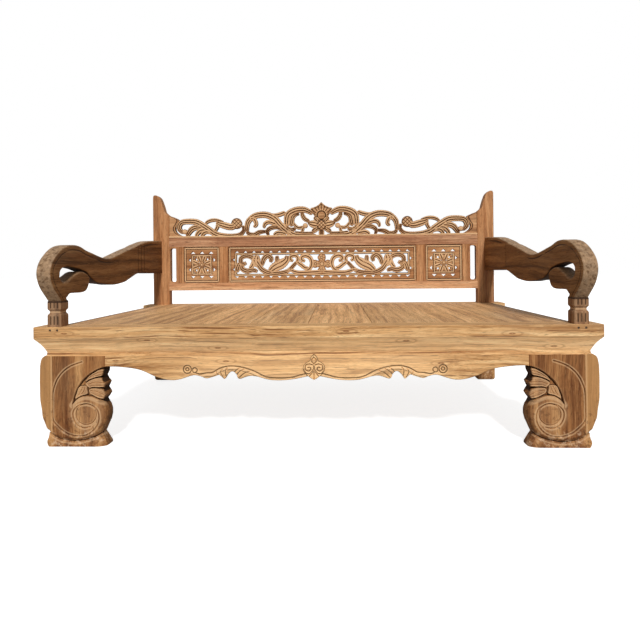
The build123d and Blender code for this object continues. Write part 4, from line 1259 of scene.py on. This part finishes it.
    def build(self) -> None:
        """Build the board and its leaf in place of the plain apron."""
        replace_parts(self.board().build(self.wood, sharp_angle=50), "front_apron")
        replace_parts(self.leaf().build(self.wood, sharp_angle=60), "front_apron")


@dataclass
class Arm:
    """Scrolled arm on its turned block, reaching from the front rail to the back post.

    Stations are (distance behind the rail's face, height above the deck) on the outer and
    the inner side of the curve, in millimetres.
    """

    side: Side
    wood: TeakFinish = ARM_WOOD
    post_wood: TeakFinish = ARM_POST_WOOD
    middle: float = 974.5
    thickness: float = 53.0
    rail_face: float = -546.0
    deck: float = 456.0
    rounding: float = 6.0
    incised_inset: float = 20.0
    bar: tuple[tuple[float, float, float, float], ...] = (
        (16, 97, 60, 97), (5, 108, 52, 112), (-28, 141, 45, 150), (-46, 168, 13, 182), (-53.8, 198, 12, 198),
        (-49, 224, 14, 208), (-36, 246, 25, 218), (-16, 266, 40, 224), (8, 284, 50, 225), (37, 299, 70, 225),
        (70, 308, 90, 224), (115, 312, 115, 221), (157, 308, 150, 216), (204, 294, 172, 211),
        (255, 283.5, 203, 203), (280, 278, 228, 186), (308, 272.5, 269, 164), (340, 267, 307, 154),
        (385, 264, 357, 149), (430, 268, 420, 143), (476, 279, 480, 143), (556, 299, 560, 151),
        (610, 312, 605, 162), (667, 324, 665, 179), (705, 335, 705, 189), (753, 346, 753, 193),
        (850, 365, 850, 190), (960, 374, 960, 189), (1059, 380, 1059, 189),
    )
    lobe: tuple[tuple[float, float, float, float], ...] = (
        (45, 100, 30, 168), (60, 108, 45, 168), (75, 119, 64, 172), (90, 122, 83, 182), (120, 122, 107, 192),
        (150, 121, 128, 201), (180, 122, 150, 206), (202, 128, 172, 206), (215, 142, 195, 200),
        (224, 158, 212, 193), (227, 172, 224, 182),
    )
    post_profile: Points = (
        (27.5, 0), (27.5, 12), (26.5, 16), (26.5, 40), (25, 46), (22, 50), (21, 55), (22, 60), (25, 64),
        (26.5, 69), (26.5, 92), (25, 97),
    )
    post_half: float = 26.5
    post_setback: float = 39.5
    flutes: int = 4

    def edges(self, stations: Sequence[Sequence[float]], count: int) -> tuple[Array, Array]:
        """Both edges of a bar, in the frame's Y and Z.

        Args:
            stations: Matching places on the two edges.
            count: Number of rings.

        Returns:
            Outer and inner edge, each of shape (count, 2).
        """
        line = curve_through(stations, count)
        shift = np.array([self.rail_face, self.deck])
        return line[:, :2] + shift, line[:, 2:] + shift

    def worked(self, rings: Array, outer: Array, inner: Array, cuts: Sequence[float]) -> tuple[Array, Array]:
        """Incise the flanks, paint the outer curve light for rubbing and painted light, and darken the cuts
        with dirt and painted shade and the inner edge with painted shade.

        A line follows the outer edge at an even inset, and short upright cuts cross the flank.

        Args:
            rings: Rings as (Y, Z, X).
            outer: The outer edge.
            inner: The inner edge.
            cuts: Distances behind the rail's face of the upright cuts.

        Returns:
            The rings with their lines cut, and the wear value of each point.
        """
        from_outer = np.linalg.norm(rings[..., :2] - outer[:, None], axis=-1)
        from_inner = np.linalg.norm(rings[..., :2] - inner[:, None], axis=-1)
        inset = (from_inner > 12) * groove(np.abs(from_outer - self.incised_inset), 5, 1.8)
        for cut in cuts:
            upright = groove(np.abs(rings[..., 0] - self.rail_face - cut), 9, 1.8)
            inset = np.maximum(inset, (from_outer > 8) * (from_inner > 8) * upright)
        inset = inset * (from_outer > 7) * (from_inner > 7)
        # Outer curve lighter: rubbing and painted light; incised lines darker with dirt and painted shade;
        # inner edge painted dark as shade
        wear = 1.5 * (1 - smooth_step((from_outer - 1) / 3)) - 0.7 * inset
        wear = wear - 0.9 * (1 - smooth_step((from_inner - 1) / 3))
        worked = rings.copy()
        worked[..., 2] -= np.sign(rings[..., 2] - rings[..., 2].mean()) * inset
        return worked, wear

    def build(self) -> None:
        """Build the arm's bar and the lobe of its scroll."""
        inner, outer = self.middle - self.thickness / 2, self.middle + self.thickness / 2
        low, high = sorted((self.side.value * inner, self.side.value * outer))
        piece = SurfaceSet(f"arm_carved_{self.side.tag}")
        top, under = self.edges(self.bar, 460)
        cuts = (721, 762, 800) if self.side is Side.LEFT else (715,)
        rings, wear = self.worked(ruled_bar(top, under, low, high, self.rounding, 22), top, under, cuts)
        piece.add_rings(as_side(rings), wear)
        top, under = self.edges(self.lobe, 90)
        rings = ruled_bar(under, top, low + 0.5, high - 0.5, self.rounding, 12)
        wear = 0.7 * smooth_step(3 - np.linalg.norm(rings[..., :2] - under[:, None], axis=-1) / 4) - 0.25
        piece.add_rings(as_side(rings), wear)
        made = piece.build(self.wood)
        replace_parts(made, f"arm_{self.side.tag}")

    def build_post(self) -> None:
        """Build the fluted square block under the arm."""
        profile = curve_through(self.post_profile, 90)
        half, height = np.minimum(profile[:, 0], self.post_half), profile[:, 1:]
        section = rounded_section(3.5 / half, 3.5 / half, 5, 40)
        across, through = section[..., 0], section[..., 1]
        lower_block = smooth_step((44 - height) / 8) * smooth_step((height - 4) / 6)
        blocks = lower_block + smooth_step((height - 66) / 6)
        lines = np.abs(np.sin((across + 1) * math.pi / 2 * self.flutes)) ** 0.5
        flute = (1 - lines) * (np.abs(through) > 0.97) * (np.abs(across) < 0.9) * blocks
        rings = xyz(
            self.side.value * self.middle + across * half[:, None],
            self.rail_face + self.post_setback + through * (half[:, None] - 2.5 * flute),
            height + self.deck,
        )
        # Painted highlight at the waist, painted shadow under the scroll at the top, dirt and painted shade
        # in the flutes
        wear = 0.9 * bell(height - 55, 3.5) - 1.5 * smooth_step((height - 88) / 5) - 1.5 * flute
        piece = SurfaceSet(f"arm_post_turned_{self.side.tag}")
        piece.add_rings(rings, wear)
        made = piece.build(self.post_wood)
        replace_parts(made, f"arm_post_{self.side.tag}")


@dataclass
class Backrest:
    """Back posts, rails and stiles with the pierced panels and the carved crest."""

    post_wood: TeakFinish = STILE_WOOD
    deck: float = 456.0
    post_front: float = 513.0
    post_back: float = 565.0
    post_line: tuple[tuple[float, float, float, float], ...] = (
        (1000, 0, 905, 0), (1000, 528, 905, 528), (1000, 540, 919, 539), (1000, 556, 931, 552),
        (1000, 580, 938, 576), (1000, 608, 948, 607), (1000, 628, 960, 634), (999, 640, 978, 649),
        (995, 648, 992, 650),
    )

    def build_post(self, side: Side) -> None:
        """Build one post with its scooped shoulder.

        Args:
            side: Which post.
        """
        first = np.asarray(self.post_line[:2], float)
        straight = first[0] + (first[1] - first[0]) * np.linspace(0, 1, 60)[:-1, None]
        line = np.vstack([straight, curve_through(self.post_line[1:], 60)])
        line = line * (side.value, 1, side.value, 1) + (0, self.deck, 0, self.deck)
        rings = ruled_bar(line[:, :2], line[:, 2:], self.post_front, self.post_back, 5.0, 8)
        piece = SurfaceSet(f"back_post_shaped_{side.tag}")
        piece.add_rings(as_upright(rings))
        made = piece.build(self.post_wood)
        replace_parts(made, f"back_post_{side.tag}")

    def build(self, frame: dict[str, Any]) -> None:
        """Dress the plain members and build the posts.
        """
        dress(frame, "back_top_rail", BACK_WOOD)
        dress(frame, "back_bottom_rail", PALE_BACK_WOOD)
        for side in Side:
            for node in ("outer_stile", "inner_stile"):
                dress(frame, f"{node}_{side.tag}", STILE_WOOD)
            dress(frame, f"square_panel_{side.tag}", CARVED_WOOD)
            self.build_post(side)
        dress(frame, "long_panel", CARVED_WOOD)


@dataclass
class PanelRelief:
    """Carved relief laid on the pierced panels' plates.

    Places are (distance from the middle, height above the panel's middle) in millimetres.
    """

    wood: TeakFinish = CARVED_WOOD
    middle_height: float = 690.5
    bay_height: float = 213.0
    half_length: float = 553.0
    band: float = 49.0
    margin: float = 3.0
    square_middle: float = 712.0
    plate: float = 520.5
    carving: Carving = Carving(
        front=515.0, back=526.0, crown=4.0, vein=2.6, spread=1.3, scallop=0.1, undercut=1.0
    )
    leafy: Carving = Carving(front=516.0, back=526.0, crown=4.0, vein=2.4, scallop=0.1, undercut=1.0)
    petals: int = 8
    bead_width: float = 7.0
    long_insets: tuple[float, float] = (9.0, 44.0)
    square_insets: tuple[float, float] = (8.0, 52.0)
    stems: tuple[tuple[Points, float, float, float], ...] = (
        (((446, 12), (462, 2), (476, 16), (472, 40), (446, 52), (415, 46), (390, 24), (370, -6), (350, -32),
          (317, -50), (282, -56), (247, -54), (210, -46), (185, -30), (165, -8), (146, 13)), 18, 23, 16),
        (((146, 13), (139, 34), (154, 51), (180, 46), (184, 28), (168, 20)), 16, 17, 16),
        (((210, -42), (187, -36), (158, -46), (129, -52), (58, -50), (0, -46)), 12, 19, 14),
        (((100, -46), (70, -28), (58, 4), (68, 36), (94, 50), (117, 42), (116, 24), (98, 18)), 12, 20, 16),
        (((352, -8), (340, 32), (318, 52), (296, 36), (303, 12)), 16, 24, 15),
        (((366, -14), (386, 18), (378, 56)), 16, 40, 22),
        (((310, -48), (275, -18), (235, 2), (208, 26), (204, 52)), 20, 44, 16),
        (((460, 6), (470, -22), (440, -40), (405, -34), (380, -44)), 16, 24, 16),
        (((500, -46), (492, -14), (480, 12)), 16, 24, 16),
        (((400, 22), (408, -6), (425, -24)), 14, 20, 12),
        (((240, -6), (260, 18), (262, 52)), 16, 22, 14),
        (((146, 13), (120, -6), (100, -22), (78, -26)), 16, 20, 14),
    )

    def vine(self, piece: SurfaceSet) -> None:
        """Add the vine of the long panel, spread over its opening."""
        reach = max(x for stem, *_ in self.stems for x, _z in stem)
        rise = max(abs(z) for stem, *_ in self.stems for _x, z in stem)
        spread = (self.half_length - self.band) / reach
        lift = (self.bay_height / 2 - self.band - self.margin) / rise
        for stem, *widths in self.stems:
            for side in Side:
                route = [(side.value * x * spread, self.middle_height + z * lift) for x, z in stem]
                self.carving.stem(piece, route, widths)

    def flower(self, piece: SurfaceSet) -> None:
        """Add the four-petalled flower in the middle of the long panel."""
        radius = (self.bay_height - 2 * self.band) / 4
        for number in range(4):
            angle = number * math.pi / 2
            x, z = radius * 1.3 * math.cos(angle), radius * 1.3 * math.sin(angle)
            self.carving.rosette(piece, (x, self.middle_height + z), radius * 0.86, petals=5, bud=0.25)
        self.carving.rosette(piece, (0, self.middle_height), radius * 0.9, petals=8, notch=0.1, bud=0.4)

    def frame(self, piece: SurfaceSet, middle: float, half_length: float, inset: float) -> None:
        """Add beads round a panel at an even inset from its edge.

        Args:
            piece: Surfaces they join.
            middle: Distance of the panel's middle from the daybed's middle.
            half_length: Half of the panel's length.
            inset: Distance of the beads from the panel's edge.
        """
        flat = Carving(front=self.plate, back=self.plate)
        wide, tall = half_length - inset, self.bay_height / 2 - inset
        corners = [(-wide, -tall), (wide, -tall), (wide, tall), (-wide, tall), (-wide, -tall)]
        placed = [(middle + x, self.middle_height + z) for x, z in corners]
        for start, end in zip(placed, placed[1:]):
            flat.line(piece, start, end, self.bead_width)

    def square(self, piece: SurfaceSet, side: Side) -> None:
        """Add the leafy square's ring of petals on one side.

        Args:
            piece: Surfaces it joins.
            side: Which panel.
        """
        radius = (self.bay_height - 2 * self.band) / 2
        middle = side.value * self.square_middle
        for number in range(self.petals):
            angle = (number + 0.5) * 2 * math.pi / self.petals
            route = [
                (middle + reach * math.cos(angle), self.middle_height + reach * math.sin(angle))
                for reach in (0.3 * radius, 0.6 * radius, 1.08 * radius)
            ]
            self.leafy.stem(piece, route, (10, 25, 13), ends=(1, 2), veins=(0,))
        self.leafy.rosette(piece, (middle, self.middle_height), radius * 0.34, petals=8, bud=0.4, height=4)
        for inset in self.square_insets:
            self.frame(piece, middle, self.bay_height / 2, inset)

    def build(self) -> None:
        """Build the relief of all three panels."""
        long_relief = SurfaceSet("long_panel_relief")
        self.vine(long_relief)
        self.flower(long_relief)
        for inset in self.long_insets:
            self.frame(long_relief, 0, self.half_length, inset)
        long_relief.build(self.wood)
        for side in Side:
            piece = SurfaceSet(f"square_panel_relief_{side.tag}")
            self.square(piece, side)
            piece.build(self.wood)


@dataclass
class Crest:
    """Openwork crest of leaf scrolls on the top rail.

    Places are (distance from the middle, height above the rail) in millimetres.
    """

    wood: TeakFinish = CARVED_WOOD
    base: float = 852.0
    half_length: float = 905.0
    foot: float = 10.0
    carving: Carving = Carving(
        front=515.5, back=545.5, crown=9.0, vein=5.0, spread=1.04, scallop=0.07, undercut=0.92
    )
    proud: Carving = Carving(front=511.5, back=545.5, crown=6.0, undercut=0.92)
    stems: tuple[tuple[Points, float, float, float], ...] = (
        (((823, 28), (845, 49), (848, 70), (833, 91), (797, 97), (744, 93), (703, 71), (667, 47),
          (633, 23), (591, 10), (533, 7), (485, 16), (461, 42), (467, 71)), 22, 36, 16),
        (((703, 64), (744, 62), (773, 50), (794, 22), (800, 5)), 22, 32, 16),
        (((685, 45), (716, 44), (738, 25), (748, 4)), 16, 25, 14),
        (((650, 26), (682, 34), (702, 26), (715, 5)), 16, 24, 14),
        (((690, 84), (673, 96), (650, 103), (620, 103), (584, 94)), 14, 20, 10),
        (((626, 90), (605, 80), (579, 72), (538, 62), (510, 68)), 20, 40, 28),
        (((640, 30), (622, 56), (615, 80)), 16, 18, 20),
        (((444, 30), (442, 65), (432, 95), (402, 121), (366, 131), (326, 130), (291, 117), (267, 98),
          (245, 72), (216, 45), (186, 21), (152, 8), (99, 6), (30, 6)), 22, 38, 16),
        (((444, 36), (427, 18), (397, 14), (367, 29), (321, 34)), 18, 27, 12),
        (((428, 108), (402, 106), (390, 90), (388, 72), (403, 59)), 18, 24, 14),
        (((267, 75), (309, 88), (334, 78), (343, 52)), 18, 25, 12),
        (((233, 45), (268, 58), (303, 52), (321, 34), (315, 9)), 18, 26, 14),
        (((284, 8), (257, 25), (210, 18)), 18, 25, 16),
        (((302, 136), (273, 128), (242, 133), (212, 146)), 8, 25, 18),
        (((207, 62), (205, 96), (200, 124), (185, 141), (160, 153), (133, 159), (103, 159), (78, 150),
          (52, 134)), 28, 38, 24),
        (((183, 60), (175, 90), (170, 115), (153, 130), (130, 134)), 22, 28, 12),
        (((213, 74), (201, 50), (180, 40), (152, 48)), 20, 28, 18),
        (((168, 84), (152, 62), (134, 52), (104, 58)), 14, 20, 14),
        (((112, 152), (112, 128), (98, 104), (70, 88)), 16, 26, 18),
        (((158, 28), (117, 23), (64, 22), (26, 34)), 10, 15, 12),
        (((205, 40), (190, 22), (176, 8)), 14, 18, 14),
        (((104, 60), (112, 40), (118, 20)), 12, 18, 12),
        (((10, 66), (44, 72), (82, 82)), 20, 44, 8),
        (((12, 58), (32, 44), (58, 28)), 18, 30, 8),
        (((10, 78), (26, 96), (44, 116)), 18, 30, 10),
    )
    bud: tuple[float, float] = (502, 81)
    bud_radius: float = 33.0
    eye_radius: float = 15.0
    eyes: Points = ((812, 36), (95, 64))
    palmette: Points = ((0.5, 202), (20, 184), (44, 172), (63, 166), (56, 146), (42, 120), (24, 96))
    hood: tuple[float, float] = (0.0, 124.0)
    hood_radius: float = 25.0
    border: float = 9.0
    fan_step: float = 17.0
    end_block: Points = (
        (904.5, 132), (880, 124), (847, 106), (856, 80), (868, 60), (862, 35), (838, 16), (815, 8),
    )

    def place(self, side: Side, point: tuple[float, float]) -> tuple[float, float]:
        """Put a drawn place on one half, in the frame's X and Z."""
        return (side.value * point[0], self.base + point[1])

    def ends(self, piece: SurfaceSet) -> None:
        """Add the solid block that meets each post, as level rings over its height."""
        heights = np.linspace(0.5, 131, 90)
        inner = np.minimum(width_at(curve_through(self.end_block, 300), heights), self.half_length - 3)
        for side in Side:
            left, right = (
                np.stack([side.value * edge, heights + self.base], axis=1)
                for edge in (np.full_like(inner, self.half_length), inner)
            )
            rings = ruled_bar(left, right, self.carving.front + 2, self.carving.back, 4.0, 16)
            from_inner = np.abs(rings[..., 0] - right[:, None, 0])
            wear = 0.3 - 1.7 * bell(from_inner - 11, 3.5) - 1.2 * (1 - smooth_step(from_inner / 3))
            piece.add_rings(as_upright(rings), wear)

    def crown_leaf(self, piece: SurfaceSet) -> None:
        """Add the palmette: a broad fluted plate with a plain hooded dome at its foot."""
        outline = curve_through(self.palmette, 240)
        heights = level_heights(self.palmette, 120)
        half = width_at(outline, heights)
        x = half * LEAF_ACROSS
        height = np.broadcast_to(heights, x.shape)
        from_rim, _ = distance_to_line(as_places(np.abs(x), height), outline[::4])
        from_rim = from_rim.reshape(x.shape)
        reach = np.hypot(x - self.hood[0], height - self.hood[1])
        from_hood = reach - self.hood_radius
        turn = np.degrees(np.arctan2(x, height - self.hood[1] + 12))
        off_line = np.radians(np.abs(np.mod(turn / self.fan_step + 0.5, 1) - 0.5) * self.fan_step) * reach
        fan, moat = groove(off_line, 6, 4) * smooth_step((from_hood - 3) / 5), groove(np.abs(from_hood), 9, 6)
        cut = np.maximum(fan, moat)
        border = groove(np.abs(from_rim - self.border), 5, 1)
        depth = cut + 3 * np.clip(reach / self.hood_radius, 0, 1) ** 2 + 3.5 * border
        depth = depth + 6 * (1 - smooth_step(from_rim / 6)) * (height > 100)
        # Dirt and painted shade in the fans, the moat and the border line; painted shade at the hood's edge;
        # painted highlight on a ring round the hood
        wear = 0.5 - 0.42 * cut - 1.9 * border - 0.75 * (1 - smooth_step((from_hood + 2) / 3))
        wear = wear + 0.9 * smooth_step(1 - np.abs(from_hood - 7) / 4)
        piece.add_strips(
            (xyz(x, self.carving.front - 3 + depth, height + self.base), wear),
            (xyz(0.96 * half * BACK_SIDES, self.carving.back + BACK_STEPS, heights + self.base), BACK_SHADE),
        )

    def middle(self, piece: SurfaceSet) -> None:
        """Add the palmette, the latticed bud below it and the tulip leaf at the foot."""
        self.crown_leaf(piece)
        route = [(0, self.base + height) for height in (46, 24, 2)]
        self.proud.stem(piece, route, (20, 34, 24), veins=(-0.45, 0, 0.45))
        self.proud.rosette(piece, (0, self.base + 66), 28, height=6, hatch=2.5)

    def build(self) -> None:
        """Build the whole crest as one piece."""
        piece = SurfaceSet("crest_carved")
        strip_x = np.linspace(-self.half_length, self.half_length, 60)
        upper, lower = (
            np.stack([strip_x, np.full_like(strip_x, level)], axis=1)
            for level in (self.base + self.foot, self.base)
        )
        strip = ruled_bar(upper, lower, self.carving.front - 2, self.carving.back, 2.0)
        piece.add_rings(as_upright(strip), np.full(strip.shape[:2], 0.8))
        for stem, *widths in self.stems:
            for side in Side:
                self.carving.stem(piece, [self.place(side, point) for point in stem], widths)
        for side in Side:
            self.carving.rosette(piece, self.place(side, self.bud), self.bud_radius, height=9, hatch=2.5)
            for centre in self.eyes:
                self.carving.rosette(piece, self.place(side, centre), self.eye_radius, height=6)
        self.ends(piece)
        self.middle(piece)
        made = piece.build(self.wood)
        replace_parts(made, "crest_panel")


# ---------------------------------------------------------------- light, floor and camera
@dataclass
class Studio:
    """Pale floor, soft light and the camera."""

    sky: float = 0.26
    key: float = 2.65
    elevation: float = 37.0
    swing: float = 6.0
    key_spread: float = 5.5
    bounce: float = 0.5
    lift: float = 0.82
    lens: float = 27.01
    place: tuple[float, float, float] = (0.0888, -2.3024, 0.6712)
    turn: float = 1.84
    roll: float = -0.54
    shift: tuple[float, float] = (-0.0024, -0.0827)

    def light(self) -> None:
        """Set the white surroundings and a soft key light from the front and above."""
        world = bpy.data.worlds.new("surroundings")
        bpy.context.scene.world = world
        graph = Graph(world)
        seen, *others = (
            graph.node("ShaderNodeLightPath", {}, {}, output=f"Is {ray} Ray")
            for ray in ("Camera", "Transmission", "Glossy")
        )
        for other in others:
            seen = seen.math("MAXIMUM", other)
        skies = [
            graph.node("ShaderNodeBackground", {}, {"Color": WHITE, "Strength": strength})
            for strength in (self.sky, 1.0)
        ]
        shader = graph.node("ShaderNodeMixShader", {}, [seen, *skies])
        graph.node("ShaderNodeOutputWorld", {}, {"Surface": shader})
        sun = bpy.data.lights.new("key", "SUN")
        sun.energy = self.key
        sun.angle = math.radians(self.key_spread)
        lamp = bpy.data.objects.new("key", sun)
        lamp.rotation_euler = (math.radians(90 - self.elevation), 0, math.radians(self.swing))
        bpy.context.scene.collection.objects.link(lamp)

    def floor(self) -> None:
        """Lay a wide pale floor, seen white and throwing back half of the light."""
        mesh = bpy.data.meshes.new("floor")
        mesh.from_pydata([(-30, -30, 0), (30, -30, 0), (30, 30, 0), (-30, 30, 0)], [], [(0, 1, 2, 3)])
        made = bpy.data.materials.new("floor_paint")
        graph = Graph(made)
        grey = (self.bounce,) * 3
        dusty = (self.bounce * 0.98, self.bounce * 0.98, self.bounce * 0.975)
        tone = graph.blend(graph.noise(graph.place(), 2.5, 3.0).between(0.3, 0.7), dusty, grey)
        paint = graph.node("ShaderNodeBsdfPrincipled", {}, {"Base Color": tone, "Roughness": 0.9})
        glow = graph.node("ShaderNodeEmission", {}, {"Color": WHITE, "Strength": self.lift})
        both = graph.node("ShaderNodeAddShader", {}, [paint, glow])
        seen = graph.node("ShaderNodeLightPath", {}, {}, output="Is Camera Ray")
        shader = graph.node("ShaderNodeMixShader", {}, [seen, paint, both])
        graph.node("ShaderNodeOutputMaterial", {}, {"Surface": shader})
        mesh.materials.append(made)
        piece = bpy.data.objects.new("floor", mesh)
        bpy.context.scene.collection.objects.link(piece)

    def camera(self) -> None:
        """Set the camera at the viewing angle."""
        data = bpy.data.cameras.new("camera")
        data.lens = self.lens
        data.sensor_width = 36.0
        data.shift_x, data.shift_y = self.shift
        eye = bpy.data.objects.new("camera", data)
        eye.matrix_world = (
            Matrix.Translation(self.place)
            @ Matrix.Rotation(math.radians(self.turn), 4, "Z")
            @ Matrix.Rotation(math.radians(90), 4, "X")
            @ Matrix.Rotation(math.radians(self.roll), 4, "Z")
        )
        bpy.context.scene.collection.objects.link(eye)
        bpy.context.scene.camera = eye

    def build(self) -> None:
        """Set everything round the object, with plain colour handling."""
        bpy.context.scene.view_settings.view_transform = "Standard"
        self.light()
        self.floor()
        self.camera()


def main() -> None:
    """Build every piece in order."""
    logging.basicConfig(level=logging.INFO, format="%(message)s")
    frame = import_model()
    Base().build(frame)
    for side in Side:
        FrontLeg(side).build()
        Arm(side).build()
        Arm(side).build_post()
    Apron().build()
    Backrest().build(frame)
    PanelRelief().build()
    Crest().build()
    Studio().build()


if __name__ == "__main__":
    main()
